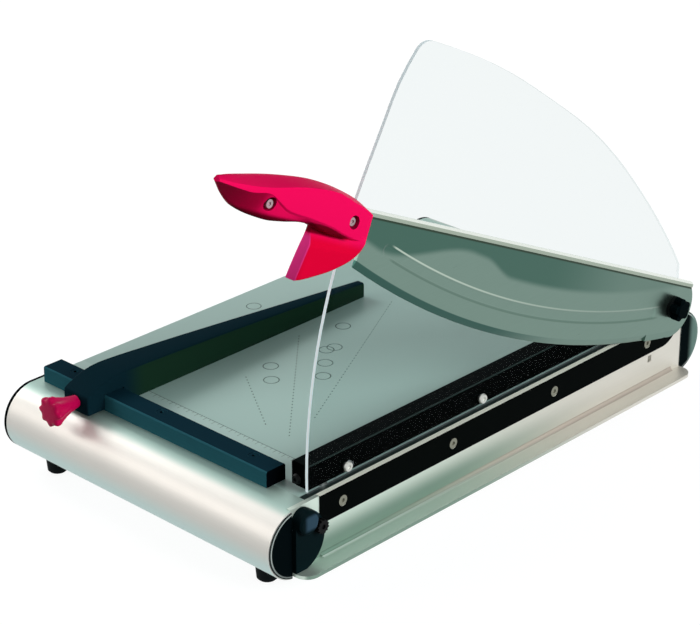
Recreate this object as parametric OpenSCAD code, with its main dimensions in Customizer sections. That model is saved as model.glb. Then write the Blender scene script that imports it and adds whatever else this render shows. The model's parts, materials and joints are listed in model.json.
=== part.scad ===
// Lever paper cutter: round-nosed base, fixed lower knife, hinged blade with a moulded handle,
// spring-lifted clamp bar with a clear guard, and a side gauge that slides on the front stop rail.
// Millimetres. X runs across the table towards the blade, Y towards the pivot, Z up.
// The origin lies on the desk, midway between the four feet.

/* [Base] */
// Width of the base, from the left end caps to the cutting plane
base_w = 312; // [280:1:360]
// Distance between the centres of the front and rear nose profiles
base_span = 482; // [460:1:510]
// Height of the table surface above the desk
table_z = 73; // [70:1:85]
// Radius of the round nose of both base profiles
nose_r = 30; // [28:0.5:32]
// Wall of the base profiles
profile_wall = 3; // [2:0.5:4]
// Flat top of a profile, from its centre to the edge of the table
nose_flat = 14; // [10:1:18]
// Radius of the screw ports inside a profile
port_r = 4.5; // [3.5:0.5:6]
// Thickness of the table sheet
table_t = 2; // [1.5:0.5:3]
// Height of the folded lip at the left edge of the table
lip_h = 14; // [8:1:20]
// Thickness of the flange of an end cap
cap_t = 3; // [2:0.5:5]
// Depth of the plug of an end cap
cap_plug = 10; // [6:1:16]
// How far the front right cap stands out beyond the cutting plane
cap_proud = 1; // [0.5:0.5:3]
// Rim of the profile that stays visible round the right caps
cap_rim = 1; // [0.5:0.5:2.5]
// Depth of the rear right cap in the end of the profile
cap_sunk = 1.5; // [1:0.5:3]

/* [Side wall] */
// Thickness of the side wall
wall_t = 4; // [3:0.5:6]
// How far the side wall reaches past the profile centre, front end
wall_front = 5; // [2:1:10]
// How far the side wall reaches past the profile centre, rear end
wall_rear = 3; // [1:1:8]
// Width of the foot flange of the side wall
flange_w = 17; // [10:1:25]
// Thickness of the foot flange
flange_t = 3; // [2:0.5:5]
// Drop from the table to the top of the foot flange
flange_drop = 53.5; // [50:0.5:54]
// Radius of the fillet between wall and flange
flange_fillet = 4; // [2:0.5:8]
// Corner radius at the free corners of the flange
flange_corner = 12; // [5:1:16]

/* [Frame under the table] */
// Width of the beam behind the lower knife
beam_w = 20; // [18:1:26]
// Height of both side beams
beam_h = 31; // [29:1:34]
// Width of the left beam
left_beam_w = 12; // [8:1:20]
// Wall of the left beam and of the cross ribs
channel_t = 2.5; // [1.5:0.5:4]
// Width of a cross rib
rib_w = 26; // [18:1:36]
// Height of a cross rib
rib_h = 20; // [12:1:26]
// Distance of the cross ribs from the middle
rib_y = 85; // [50:1:110]

/* [Lower knife] */
// Length of the lower knife
knife_len = 455; // [430:1:456]
// Height of the lower knife
knife_h = 25; // [20:1:28]
// How far the lower knife stands proud of the side wall
knife_proud = 0.8; // [0.4:0.1:1.5]
// Gap from the front profile centre to the front end of the knife
knife_front = 26; // [24:1:30]
// Distance between the knife screws
knife_pitch = 128; // [110:1:130]
// Distance from the front end of the knife to its first screw
knife_first = 25.5; // [20:0.5:40]
// Drop from the table to the knife screws
knife_screw_drop = 14; // [11:0.5:16]
// Gap between the front end of the knife and the front end of the blade
blade_front = 1.5; // [1:0.5:4]

/* [Pivot] */
// Gap from the rear profile centre forward to the pivot axis
pivot_back = 16.5; // [14:0.5:18]
// Height of the pivot axis above the table
pivot_h = 12; // [11:0.5:15]
// Radius of the pivot bolt
pivot_r = 6; // [5:0.5:7]
// Outer radius of the spacer and of the blade bush
bush_r = 8; // [7.5:0.5:9]
// Radius of the rounded top of the pivot block
block_r = 15; // [13:0.5:16]
// Width of the pivot block
block_w = 19; // [16:1:20]
// Length of the screwed foot in front of the pivot block
block_foot = 34; // [31:1:40]
// Height of the foot of the pivot block
block_foot_h = 7; // [5:0.5:8]
// Radius of the star nut over its lobes
star_r = 10.5; // [10:0.5:14]
// Thickness of the star nut
star_t = 7.5; // [6:0.5:12]

/* [Blade] */
// Angle at which the blade is shown, above closed level
blade_angle = 25; // [25:1:25]
// Thickness of the blade
blade_t = 3; // [2:0.5:4]
// Gap between the cutting plane and the blade
blade_gap = 0.4; // [0.35:0.05:0.8]
// Radius of the curved cutting edge
edge_r = 880; // [800:10:950]
// Distance from the pivot to the deepest point of the edge
belly_s = 202; // [180:1:215]
// Depth of the edge below the pivot at its deepest point
belly_n = 52; // [48:1:56]
// Height of the top of the blade plate above the pivot line
spine_n = 20.5; // [19:0.5:22]
// Radius of the blade heel round the pivot
heel_r = 28; // [25:0.5:30]
// Width of the ground bevel on the outer face
bevel_w = 6; // [3:0.5:8]
// Width of the pressed groove in the outer face
groove_w = 10.5; // [6:0.5:14]
// Distance from the edge to the pressed groove
groove_in = 20; // [16:1:30]
// Depth of the pressed groove
groove_d = 0.6; // [0.3:0.1:1]
// Distance from the front of the blade back to the centre of the groove's round end
groove_front = 31; // [24:1:60]
// Distance from the pivot to the centre of the groove's rear end
groove_rear = 30; // [26:1:60]
// Height of the stiffening rail along the spine
rail_h = 5; // [3:0.5:7]
// Thickness of the stiffening rail along the spine
rail_t = 5.5; // [4:0.5:7]
// Length of the tang inside the handle
tang_len = 138; // [120:1:145]

/* [Handle] */
// How far the handle stands inside the cutting plane
handle_in = 2; // [1:0.5:2.5]
// How far the handle stands outside the cutting plane
handle_out = 24; // [22:1:28]
// How far the finger lobe stays outside the cutting plane
lobe_in = 6.4; // [6.2:0.1:8]
// How far the front of the finger lobe is set back from the outer face of the handle
lobe_back = 5.5; // [3:0.5:8]
// Rounding of the handle edges
handle_round = 5; // [3:0.5:5.5]
// Rounding of the lobe edges
lobe_round = 3.5; // [2:0.5:5]
// Depth of the recesses over the handle screws
handle_recess = 2.6; // [2:0.1:10]
// Distance from the front of the blade to the first handle screw
handle_screw_near = 39.5; // [32:0.5:46]
// Distance from the front of the blade to the second handle screw
handle_screw_far = 130.5; // [110:0.5:132]
// Height of the handle screws above the pivot line
handle_screw_n = 15.6; // [14:0.1:16]

/* [Clamp and guard] */
// Width of the clamp bar
clamp_w = 17.5; // [16:0.5:19]
// Height of the clamp bar
clamp_h = 20; // [18:0.5:24]
// Thickness of the rubber strip under the clamp bar
pad_t = 2; // [1:0.5:3]
// Gap between the rubber strip and the table when the clamp is lifted
clamp_lift = 3; // [2:0.5:4]
// Gap between the front end of the clamp bar and the front end of the knife
clamp_front = 6; // [1:0.5:8]
// Thickness of the clear guard
guard_t = 3; // [2:0.5:4]
// Gap between the guard and the cutting plane
guard_in = 3.5; // [3:0.1:5]
// How far the guard reaches in front of the blade
guard_front = 15; // [8:1:24]
// How far the guard reaches behind the pivot
guard_rear = 15.5; // [12:0.5:17]
// Height of the rear end of the guard above the pivot
guard_rear_h = 34; // [26:1:50]
// Angle of the top corner of the guard, seen from the pivot
guard_top = 45.7; // [40:0.1:50]
// Radius of the bowed back edge of the guard
guard_back_r = 698; // [600:1:900]
// Radius of the top corner of the guard
guard_corner = 16; // [6:1:30]
// Distance between the guard screws
guard_pitch = 158; // [140:1:165]
// Distance from the front end of the knife to the first guard screw
guard_first = 34; // [28:1:44]
// Depth of the guide pins in the beam
pin_depth = 22; // [16:1:26]

/* [Front stop rail] */
// Gap between the left edge of the base and the rail
rail_left = 10.5; // [5:0.5:20]
// Gap between the cutting plane and the rail
rail_right = 38; // [32:1:60]
// Width of the rail
stop_w = 20.5; // [16:0.5:24]
// Height of the rail
stop_h = 14; // [10:0.5:18]
// Chamfer of the rail edges
stop_chamfer = 1.2; // [0.5:0.1:2]

/* [Side gauge] */
// Gap between the cutting plane and the face of the gauge
gauge_at = 224.5; // [200:0.5:232]
// Length of the gauge behind the stop rail
gauge_len = 286; // [200:1:330]
// Width of the gauge at the rail
gauge_w = 30.5; // [26:0.5:36]
// Width of the gauge at its far end
gauge_tip_w = 13.5; // [10:0.5:20]
// Height of the gauge above the table, at the rail
gauge_h = 27; // [22:0.5:32]
// Height of the gauge above the table, at its far end
gauge_tip_h = 8.5; // [6:0.5:14]
// Length of the block in front of the rail
hook_len = 18; // [16:1:28]
// Height of the block at its front face, above the table
hook_h = 21; // [19:0.5:24]
// Radius of the clamp knob over its lobes
knob_r = 12; // [10:0.5:14]
// Thickness of the lobed head of the clamp knob
knob_head = 6; // [5:0.5:12]
// Length of the cone behind the head
knob_cone = 23; // [14:1:28]
// Number of lobes on the clamp knob
knob_lobes = 8; // [6:1:9]
// Radius of the clamp stud
stud_r = 3; // [2.5:0.5:4]
// Height of the clamp stud above the table
stud_h = 11; // [10:0.5:13]

/* [Lever stop] */
// Radius of the stop plate
stop_plate_r = 27; // [25:0.5:27]
// Thickness of the stop plate
stop_plate_t = 4.8; // [3:0.1:5]
// Radius of the rubber buffer
buffer_r = 10; // [8:0.5:10]
// Drop from the table to the top of the buffer
buffer_drop = 1.5; // [1.5:0.1:4]
// How far the buffer stands out beyond the cutting plane
buffer_out = 10; // [8:0.5:11]
// Radius of the knurled stop screw
stop_screw_r = 6; // [5:0.5:6.5]

/* [Feet] */
// Distance of the feet from the middle, across the table
foot_x = 125; // [110:1:130]
// Radius of a foot where it meets the profile
foot_top_r = 9.5; // [8:0.5:12]
// Radius of a foot on the desk
foot_r = 8.5; // [7.5:0.5:11]

/* [Fits] */
// Radial clearance of the turning and sliding fits
run_fit = 0.05; // [0.03:0.01:0.08]
// Radial clearance round fixed screws and pins
screw_fit = 0.05; // [0.02:0.01:0.1]
// Gap between pieces that move past each other
slide_gap = 0.3; // [0.3:0.05:0.5]
// Gap round pieces that are let into others
seat_gap = 0.1; // [0.05:0.05:0.2]
// Radius of the screw shanks
screw_r = 2.5; // [2:0.1:2.6]
// Radius of the screw heads
head_r = 4.5; // [4:0.1:4.8]
// Height of the screw heads
head_h = 2.4; // [2:0.1:2.8]

/* [Hidden] */
$fn = 64;
EPS = 0.01;

// Main planes of the base
cut_x = base_w / 2;
profile_y = base_span / 2;
nose_z = table_z - nose_r;
back_y = profile_y - nose_r;
seat_y = profile_y - nose_flat;
sheet_z = table_z - table_t;
wall_x1 = cut_x - knife_proud;
wall_x0 = wall_x1 - wall_t;
wall_y0 = -profile_y - wall_front;
wall_y1 = profile_y + wall_rear;
left_end = -cut_x + cap_t;
inner_r = nose_r - profile_wall;
rear_nose_x1 = wall_x1 - cap_sunk;
rear_cap_x1 = wall_x1 + knife_proud / 2;

// Lower knife
knife_y0 = -profile_y + knife_front;
knife_y1 = knife_y0 + knife_len;
knife_z0 = table_z - knife_h;
knife_corner = knife_h - 1;
knife_screw_z = table_z - knife_screw_drop;
knife_screws_end = min(knife_y1 - knife_corner, back_y) - head_r - 1;
knife_screws_y = [for (y = [knife_y0 + knife_first:knife_pitch:knife_screws_end]) y];

// Frame under the table
beam_x0 = wall_x0 - beam_w;
beam_z0 = sheet_z - beam_h;
left_beam_x0 = left_end + table_t;
wall_screw_z = beam_z0 + 5;
wall_screws_y = knife_screws_y;

// Pivot and blade frame: s runs forward along the blade from the pivot, n square to it
pivot_y = profile_y - pivot_back;
pivot_z = table_z + pivot_h;
blade_x0 = cut_x + blade_gap;
blade_x1 = blade_x0 + blade_t;
blade_len = pivot_y - knife_y0 - blade_front;
edge_n = edge_r - belly_n;
tang_low = 9;
spine_reach = 16;
guard_x1 = cut_x - guard_in;
guard_x0 = guard_x1 - guard_t;
block_x1 = guard_x0 - 0.5;
block_x0 = block_x1 - block_w;
block_y0 = pivot_y - block_foot;
block_y1 = min(profile_y, pivot_y + block_r);
block_screw_y = block_y0 + head_r + 2.2;
block_screws_x = [for (i = [-1, 1]) block_x0 + block_w / 2 + i * (head_r + 0.5)];
collar_t = 1;
washer_t = 1.8;
washer_x0 = blade_x1 + collar_t + slide_gap;
star_x0 = washer_x0 + washer_t;

// Clamp bar and guard
clamp_x1 = guard_x0;
clamp_x0 = clamp_x1 - clamp_w;
clamp_y0 = knife_y0 - clamp_front;
clamp_y1 = block_y0 - 4;
pad_z0 = table_z + clamp_lift;
clamp_z0 = pad_z0 + pad_t;
clamp_z1 = clamp_z0 + clamp_h;
pin_x = clamp_x0 + clamp_w / 2;
pins_y = [knife_y0 + 15, clamp_y1 - 25];
pin_r = 4;
pin_z1 = clamp_z0 + 12;
spring_r = 6;
spring_z1 = clamp_z0 + 6;
guard_r = blade_len + guard_front;
guard_z0 = pad_z0 + 0.7;
guard_screw_z = clamp_z0 + 6;
guard_screws_y = [for (y = [knife_y0 + guard_first:guard_pitch:clamp_y1 - head_r - 5]) y];

// Stop rail, gauge and knob
rail_x0 = -cut_x + rail_left;
rail_x1 = cut_x - rail_right;
rail_y1 = knife_y0 + 1;
rail_y0 = rail_y1 - stop_w;
rail_screws_x = [for (i = [0.1, 0.5, 0.9]) rail_x0 + i * (rail_x1 - rail_x0)];
gauge_x1 = cut_x - gauge_at;
gauge_x0 = gauge_x1 - gauge_w;
hook_y0 = rail_y0 - hook_len;
stud_x = gauge_x1 - gauge_w * 0.45;
stud_z = table_z + stud_h;
knob_y0 = hook_y0 - 1;
knob_y1 = knob_y0 - knob_cone - knob_head;

// Lever stop
stop_y = -profile_y - 1;
stop_z = nose_z + 2.5;
buffer_y = wall_y0 + buffer_r + 0.5;
buffer_z = table_z - buffer_drop - buffer_r;
stop_screw_y = knife_y0 - stop_screw_r - 0.6;
stop_screw_z = table_z - 20;

// Feet
foot_h = table_z - 2 * nose_r;
foot_y = profile_y + 1;

// Outline discs of the handle: distance past the blade front, height, radius.
// The lobe's discs also give their share of the set-back, which grows towards its front.
grip_discs = [[177, 20.5, 5.5], [153, 19, 11], [134, 18.2, 15], [112, 20, 15.5], [90, 22.5, 15]];
body_discs = [[90, 22.5, 15], [62, 22, 15], [40, 17.5, 16], [32, 14, 13]];
lobe_discs = [
    [32, 6, 13, 0.4], [44, -6, 17.5, 0.7], [62, -21, 10.5, 1], [74, -26, 8.5, 1.15], [61, 0, 9, 1],
    [60, 18, 10, 1]
];
handle_screws_s = [blade_len + handle_screw_near, blade_len + handle_screw_far];

// Points on an arc round c, from angle a0 to a1
function arc(c, r, a0, a1, n) =
    [for (i = [0:n]) c + r * [cos(a0 + (a1 - a0) * i / n), sin(a0 + (a1 - a0) * i / n)]];

// Upper meeting point of two circles
function meet(c1, r1, c2, r2) =
    let (d = norm(c2 - c1), a = (d * d + r1 * r1 - r2 * r2) / (2 * d))
    let (u = (c2 - c1) / d, h = sqrt(r1 * r1 - a * a))
    let (p = c1 + a * u, q = h * [-u[1], u[0]])
    (p + q)[1] > (p - q)[1] ? p + q : p - q;

// Centre of an arc of radius r that bows out to the right of the line from p to q
function bow_centre(p, q, r) =
    let (m = (p + q) / 2, d = norm(q - p) / 2, u = (q - p) / norm(q - p))
    m + sqrt(r * r - d * d) * [u[1], -u[0]];

function angle_of(v) = atan2(v[1], v[0]);

// Turns an outline drawn as (y, z) into a slab from x0 to x1
module across(x0, x1) {
    translate([x0, 0, 0]) rotate([90, 0, 90]) linear_extrude(x1 - x0) children();
}

// Turns an outline drawn as (x, z) into a slab from y0 to y1
module along(y0, y1) {
    translate([0, y1, 0]) rotate([90, 0, 0]) linear_extrude(y1 - y0) children();
}

// A round bar along X
module bar_x(x0, x1, y, z, r) {
    translate([x0, y, z]) rotate([0, 90, 0]) cylinder(r = r, h = x1 - x0);
}

// A round bar along Y
module bar_y(y0, y1, x, z, r) {
    translate([x, y0, z]) rotate([-90, 0, 0]) cylinder(r = r, h = y1 - y0);
}

// A round bar along Z
module bar_z(z0, z1, x, y, r) {
    translate([x, y, z0]) cylinder(r = r, h = z1 - z0);
}

// A socket recess with six sides, opening upwards from its floor
module hex_socket(r, depth) {
    cylinder(r = r, h = depth + EPS, $fn = 6);
}

// The blade's own frame: its outlines are drawn as (-s, n) and extruded along X
module on_blade() {
    translate([0, pivot_y, pivot_z]) rotate([-blade_angle, 0, 0]) rotate([90, 0, 90]) children();
}

// Profiles and end caps: the section is drawn inwards from the nose centre
module nose_section(r) {
    circle(r = r);
    translate([0, -r]) square([r, 2 * r]);
}

module profile_inside() {
    difference() {
        nose_section(inner_r);
        translate([nose_flat - profile_wall, inner_r - table_t]) square(nose_r);
        for (a = [120, 240]) {
            rotate(a) translate([inner_r - port_r + 1, 0]) circle(r = port_r);
        }
    }
}

module profile_section() {
    difference() {
        nose_section(nose_r);
        profile_inside();
        translate([nose_flat, nose_r - table_t]) square(nose_r);
        for (a = [120, 240]) {
            rotate(a) translate([inner_r - port_r + 1, 0]) circle(r = screw_r);
        }
    }
}

// side is -1 at the front and 1 at the back
module in_profile(side, x0, x1) {
    translate([0, side * profile_y, nose_z]) {
        if (side < 0) across(x0, x1) children();
        else across(x0, x1) mirror([1, 0]) children();
    }
}

// The round half of a nose that the side wall leaves open, which also keeps clear of the knife
module open_nose(side, reach, x0, x1) {
    difference() {
        in_profile(side, x0, x1) difference() {
            children();
            translate([-reach - seat_gap, -nose_r - 1]) square(3 * nose_r);
        }
        across(wall_x0 - EPS, cut_x + 1) knife_outline(seat_gap);
    }
}

module nose_profile(side, reach, x1) {
    open_nose(side, reach, wall_x0 - EPS, x1) profile_section();
    difference() {
        in_profile(side, left_end, wall_x0) profile_section();
        for (x = [-foot_x, foot_x]) {
            bar_z(foot_h - EPS, foot_h + profile_wall + 1, x, side * foot_y, screw_r + screw_fit);
        }
    }
}

module cap_plug_section() {
    plug_r = inner_r - seat_gap;
    intersection() {
        nose_section(plug_r);
        translate([-plug_r, -plug_r])
            square([plug_r + nose_flat - profile_wall - seat_gap, 2 * plug_r]);
    }
}

module plug_cut() {
    for (a = [120, 240]) {
        rotate(a) translate([inner_r - port_r + 1, 0]) circle(r = port_r + seat_gap);
    }
}

module left_cap(side) {
    color("#15181a") {
        in_profile(side, -cut_x, left_end) nose_section(nose_r);
        in_profile(side, left_end - EPS, left_end + cap_plug) difference() {
            cap_plug_section();
            plug_cut();
        }
    }
}

// The right caps only close the round half of the nose that the side wall leaves open
module right_cap(side, reach, x0, x1) {
    color("#15181a") {
        open_nose(side, reach, x0, x1) nose_section(nose_r - cap_rim);
        open_nose(side, reach + 2, wall_x0 - cap_plug, x0 + EPS) difference() {
            cap_plug_section();
            plug_cut();
        }
    }
}

module front_profile() {
    color("#d8dcda") nose_profile(-1, wall_front, cut_x);
}

module rear_profile() {
    color("#d8dcda") nose_profile(1, wall_rear, rear_nose_x1);
}

module table_plate() {
    color("#9eb0aa") difference() {
        union() {
            translate([left_end, -seat_y, sheet_z]) cube([wall_x0 - left_end, 2 * seat_y, table_t]);
            translate([left_end, -back_y, table_z - lip_h]) cube([table_t, 2 * back_y, lip_h]);
        }
        for (y = pins_y) {
            bar_z(sheet_z - 1, table_z + 1, pin_x, y, pin_r + screw_fit);
        }
        for (x = block_screws_x) {
            bar_z(sheet_z - 1, table_z + 1, x, block_screw_y, screw_r + screw_fit);
        }
        for (x = rail_screws_x) {
            bar_z(sheet_z - 1, table_z + 1, x, -seat_y + 5, screw_r + screw_fit);
        }
    }
}

// Outline of the lower knife, grown by g on its lower and end faces
module knife_outline(g) {
    translate([knife_y0 - g, knife_z0 - g]) {
        square([knife_len + 2 * g - knife_corner, knife_h + g]);
        translate([knife_len + 2 * g - knife_corner, knife_corner]) intersection() {
            circle(r = knife_corner);
            translate([-1, -knife_corner]) square([knife_corner + 1, knife_corner]);
        }
        translate([0, knife_corner]) square([knife_len + 2 * g, knife_h + g - knife_corner]);
    }
}

module wall_outline() {
    difference() {
        translate([wall_y0, table_z - flange_drop - flange_t])
            square([wall_y1 - wall_y0, flange_drop + flange_t]);
        intersection() {
            knife_outline(seat_gap);
            translate([knife_y0 - 1, knife_z0 - 1]) square([knife_len + 2, knife_h + 1]);
        }
        translate([knife_y0, table_z - EPS]) square([knife_len + 1, 1]);
    }
}

module flange_outline() {
    x1 = wall_x1 + flange_w;
    difference() {
        translate([wall_x1 - EPS, wall_y0]) square([flange_w + EPS, wall_y1 - wall_y0]);
        for (end = [[wall_y0, 1], [wall_y1, -1]]) {
            translate([x1 - flange_corner, end[0] + end[1] * flange_corner]) difference() {
                translate([0, end[1] > 0 ? -flange_corner - 1 : 0]) square(flange_corner + 1);
                circle(r = flange_corner);
            }
        }
    }
}

module side_wall() {
    flange_z = table_z - flange_drop;
    fillet_y0 = stop_y + stop_plate_r + 1;
    slot_y = knife_y1 - 43;
    slot_z = knife_z0 - 9;
    color("#ccd3cd") difference() {
        union() {
            across(wall_x0, wall_x1) wall_outline();
            translate([0, 0, flange_z - flange_t]) linear_extrude(flange_t) flange_outline();
            difference() {
                translate([wall_x1 - EPS, fillet_y0, flange_z - EPS])
                    cube([flange_fillet, wall_y1 - flange_corner - fillet_y0, flange_fillet]);
                bar_y(wall_y0, wall_y1, wall_x1 + flange_fillet, flange_z + flange_fillet, flange_fillet);
            }
        }
        translate([wall_x0 - 1, slot_y, slot_z]) cube([wall_t + 2, 5, 6]);
        for (y = wall_screws_y) {
            bar_x(wall_x0 - 1, wall_x1 - 1, y, wall_screw_z, screw_r + screw_fit);
        }
        bar_x(wall_x0 - 1, wall_x1 + 1, stop_screw_y, stop_screw_z, screw_r + screw_fit);
    }
}

// Screws that hold the side wall, driven from inside through the beam
module wall_screws() {
    color("#b9bdbd") for (y = wall_screws_y) {
        bar_x(beam_x0, wall_x1 - 1.2, y, wall_screw_z, screw_r);
        difference() {
            bar_x(beam_x0 - head_h, beam_x0, y, wall_screw_z, head_r);
            translate([beam_x0 - head_h + 1.2, y, wall_screw_z]) rotate([0, -90, 0]) hex_socket(2, 1.2);
        }
    }
}

module knife_beam() {
    color("#c3c8c6") difference() {
        translate([beam_x0, -back_y, beam_z0]) cube([beam_w, 2 * back_y, beam_h]);
        for (y = knife_screws_y) {
            bar_x(beam_x0 - 1, wall_x0 + 1, y, knife_screw_z, screw_r + screw_fit);
        }
        for (y = wall_screws_y) {
            bar_x(beam_x0 - 1, wall_x0 + 1, y, wall_screw_z, screw_r + screw_fit);
        }
        for (y = pins_y) {
            bar_z(sheet_z - pin_depth, sheet_z + 1, pin_x, y, pin_r + screw_fit);
        }
        for (x = block_screws_x) {
            bar_z(sheet_z - 8, sheet_z + 1, x, block_screw_y, screw_r + screw_fit);
        }
    }
}

// Open channel under the left edge of the table
module left_beam() {
    color("#c3c8c6") difference() {
        translate([left_beam_x0, -back_y, beam_z0]) cube([left_beam_w, 2 * back_y, beam_h]);
        translate([left_beam_x0 + channel_t, -back_y - 1, beam_z0 + channel_t])
            cube([left_beam_w, 2 * back_y + 2, beam_h - 2 * channel_t]);
    }
}

// Two hat channels that carry the middle of the table
module cross_ribs() {
    x0 = left_beam_x0 + left_beam_w;
    color("#c3c8c6") for (y = [-rib_y, rib_y]) {
        difference() {
            translate([x0, y - rib_w / 2, sheet_z - rib_h]) cube([beam_x0 - x0, rib_w, rib_h]);
            translate([x0 - 1, y - rib_w / 2 + channel_t, sheet_z - rib_h - 1])
                cube([beam_x0 - x0 + 2, rib_w - 2 * channel_t, rib_h + 1 - channel_t]);
        }
    }
}

module lower_knife() {
    color("#0d0f10") difference() {
        across(wall_x0, cut_x) intersection() {
            knife_outline(0);
            translate([knife_y0, knife_z0]) square([knife_len, knife_h]);
        }
        for (y = knife_screws_y) {
            bar_x(wall_x0 - 1, cut_x + 1, y, knife_screw_z, screw_r + screw_fit);
            bar_x(cut_x - head_h, cut_x + 1, y, knife_screw_z, head_r + screw_fit);
        }
    }
}

module knife_screws() {
    color("#d9dbd6") for (y = knife_screws_y) {
        bar_x(beam_x0 + 3, cut_x - head_h, y, knife_screw_z, screw_r);
        difference() {
            bar_x(cut_x - head_h, cut_x - seat_gap, y, knife_screw_z, head_r);
            translate([cut_x - 1.4, y, knife_screw_z]) rotate([0, 90, 0]) hex_socket(1.8, 1.4);
        }
    }
}

// Front stop for the paper, with chamfered long edges
module stop_rail() {
    c = stop_chamfer;
    color("#10242c") difference() {
        across(rail_x0, rail_x1) polygon([
            [rail_y0, table_z], [rail_y1, table_z], [rail_y1, table_z + stop_h - c],
            [rail_y1 - c, table_z + stop_h], [rail_y0 + c, table_z + stop_h],
            [rail_y0, table_z + stop_h - c]
        ]);
        for (x = rail_screws_x) {
            bar_z(table_z - 1, table_z + stop_h + 1, x, -seat_y + 5, screw_r + screw_fit);
            bar_z(table_z + stop_h - head_h, table_z + stop_h + 1, x, -seat_y + 5, head_r + screw_fit);
        }
    }
}

module stop_rail_screws() {
    z1 = table_z + stop_h;
    color("#17191b") for (x = rail_screws_x) {
        bar_z(sheet_z, z1 - head_h, x, -seat_y + 5, screw_r);
        difference() {
            bar_z(z1 - head_h, z1 - seat_gap, x, -seat_y + 5, head_r);
            translate([x, -seat_y + 5, z1 - 1.4]) hex_socket(1.8, 1.4);
        }
    }
}

// Stop plate on the front end of the wall, with the buffer on which the lever comes to rest
module lever_stop() {
    color("#0b0e10") difference() {
        union() {
            across(wall_x1, cut_x + stop_plate_t) difference() {
                union() {
                    translate([stop_y, stop_z]) circle(r = stop_plate_r);
                    translate([stop_screw_y, stop_screw_z]) circle(r = stop_screw_r);
                }
                translate([wall_y0 - 60, 0]) square([60 + seat_gap, 2 * table_z]);
                translate([wall_y0, table_z - 12]) square([buffer_y - wall_y0, 20]);
                translate([wall_y0, 0]) square([120, table_z - flange_drop + seat_gap]);
            }
            bar_x(wall_x1, cut_x + buffer_out - 1.5, buffer_y, buffer_z, buffer_r);
            translate([cut_x + buffer_out - 1.5, buffer_y, buffer_z]) rotate([0, 90, 0])
                cylinder(r1 = buffer_r, r2 = buffer_r - 1.5, h = 1.5);
        }
        bar_x(wall_x1 - 1, cut_x + stop_plate_t + 2, stop_screw_y, stop_screw_z, screw_r + screw_fit);
    }
}

// Knurled screw that holds the stop plate
module lever_stop_screw() {
    x0 = cut_x + stop_plate_t;
    teeth = 12;
    color("#3a3f41") {
        bar_x(wall_x0 + 1, x0, stop_screw_y, stop_screw_z, screw_r);
        difference() {
            bar_x(x0, x0 + 5.5, stop_screw_y, stop_screw_z, stop_screw_r);
            for (i = [0:teeth - 1]) {
                translate([0, stop_screw_y, stop_screw_z]) rotate([i * 360 / teeth, 0, 0])
                    bar_x(x0 - 1, x0 + 7, stop_screw_r, 0, 0.9);
            }
            translate([x0 + 4, stop_screw_y, stop_screw_z]) rotate([0, 90, 0]) hex_socket(2.2, 1.5);
        }
    }
}

// Rubber foot with a saddle that fits the round nose
module foot(x, side) {
    bite = 6;
    color("#101416") difference() {
        translate([x, side * foot_y, 0]) rotate_extrude() polygon([
            [screw_r + screw_fit, 6], [head_r + 1, 6], [head_r + 1, 0], [foot_r - 1.5, 0],
            [foot_r, 1.5], [foot_top_r, foot_h], [foot_top_r, foot_h + bite],
            [screw_r + screw_fit, foot_h + bite]
        ]);
        bar_x(x - 2 * foot_top_r, x + 2 * foot_top_r, side * profile_y, nose_z, nose_r);
        translate([x - 2 * foot_top_r, side > 0 ? side * profile_y - 40 : side * profile_y, foot_h])
            cube([4 * foot_top_r, 40, 2 * nose_r]);
    }
}

module foot_screws() {
    color("#b9bdbd") for (x = [-foot_x, foot_x], side = [-1, 1]) {
        translate([x, side * foot_y, 0]) {
            bar_z(6, foot_h + profile_wall, 0, 0, screw_r);
            difference() {
                bar_z(6 - head_h, 6, 0, 0, head_r);
                translate([0, 0, 6 - head_h - EPS]) hex_socket(2, 1.2);
            }
        }
    }
}

// Upright pins that guide the clamp bar
module guide_pins() {
    color("#c9cdcc") for (y = pins_y) {
        bar_z(sheet_z - pin_depth, pin_z1 - 1, pin_x, y, pin_r);
        translate([pin_x, y, pin_z1 - 1]) cylinder(r1 = pin_r, r2 = pin_r - 1, h = 1);
    }
}

module pivot_block() {
    color("#9aa19e") difference() {
        union() {
            across(block_x0, block_x1) {
                translate([pivot_y, pivot_z]) circle(r = block_r);
                translate([pivot_y - block_r, table_z]) square([block_y1 - pivot_y + block_r, pivot_h]);
                translate([block_y0, table_z]) square([block_foot, block_foot_h]);
            }
        }
        across(block_x0 - 1, block_x1 + 1)
            translate([pivot_y - block_r, table_z - 5]) square([2 * block_r, 5]);
        bar_x(block_x0 - 1, block_x1 + 1, pivot_y, pivot_z, pivot_r + screw_fit);
        for (x = block_screws_x) {
            bar_z(table_z - 1, table_z + block_foot_h + 1, x, block_screw_y, screw_r + screw_fit);
        }
    }
}

module pivot_block_screws() {
    z0 = table_z + block_foot_h;
    color("#b9bdbd") for (x = block_screws_x) {
        bar_z(sheet_z - 7.5, z0, x, block_screw_y, screw_r);
        difference() {
            bar_z(z0, z0 + head_h + 1, x, block_screw_y, head_r);
            translate([x, block_screw_y, z0 + head_h - 0.6]) hex_socket(2, 1.6);
        }
    }
}

module pivot_bolt() {
    head_t = 6;
    color("#aeb4b2") {
        translate([block_x0 - head_t, pivot_y, pivot_z]) rotate([0, 90, 0])
            cylinder(r = 1.6 * pivot_r, h = head_t, $fn = 6);
        bar_x(block_x0 - EPS, star_x0 + star_t - 1, pivot_y, pivot_z, pivot_r);
    }
}

// Ring along X round the pivot axis
module pivot_ring(x0, x1, r, bore) {
    difference() {
        bar_x(x0, x1, pivot_y, pivot_z, r);
        bar_x(x0 - 1, x1 + 1, pivot_y, pivot_z, bore);
    }
}

module pivot_spacer() {
    color("#aeb4b2") pivot_ring(block_x1, blade_x0 - slide_gap, bush_r, pivot_r + screw_fit);
}

module spring_washer() {
    color("#8d9391") pivot_ring(washer_x0, star_x0, bush_r + 2, pivot_r + screw_fit);
}

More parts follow.
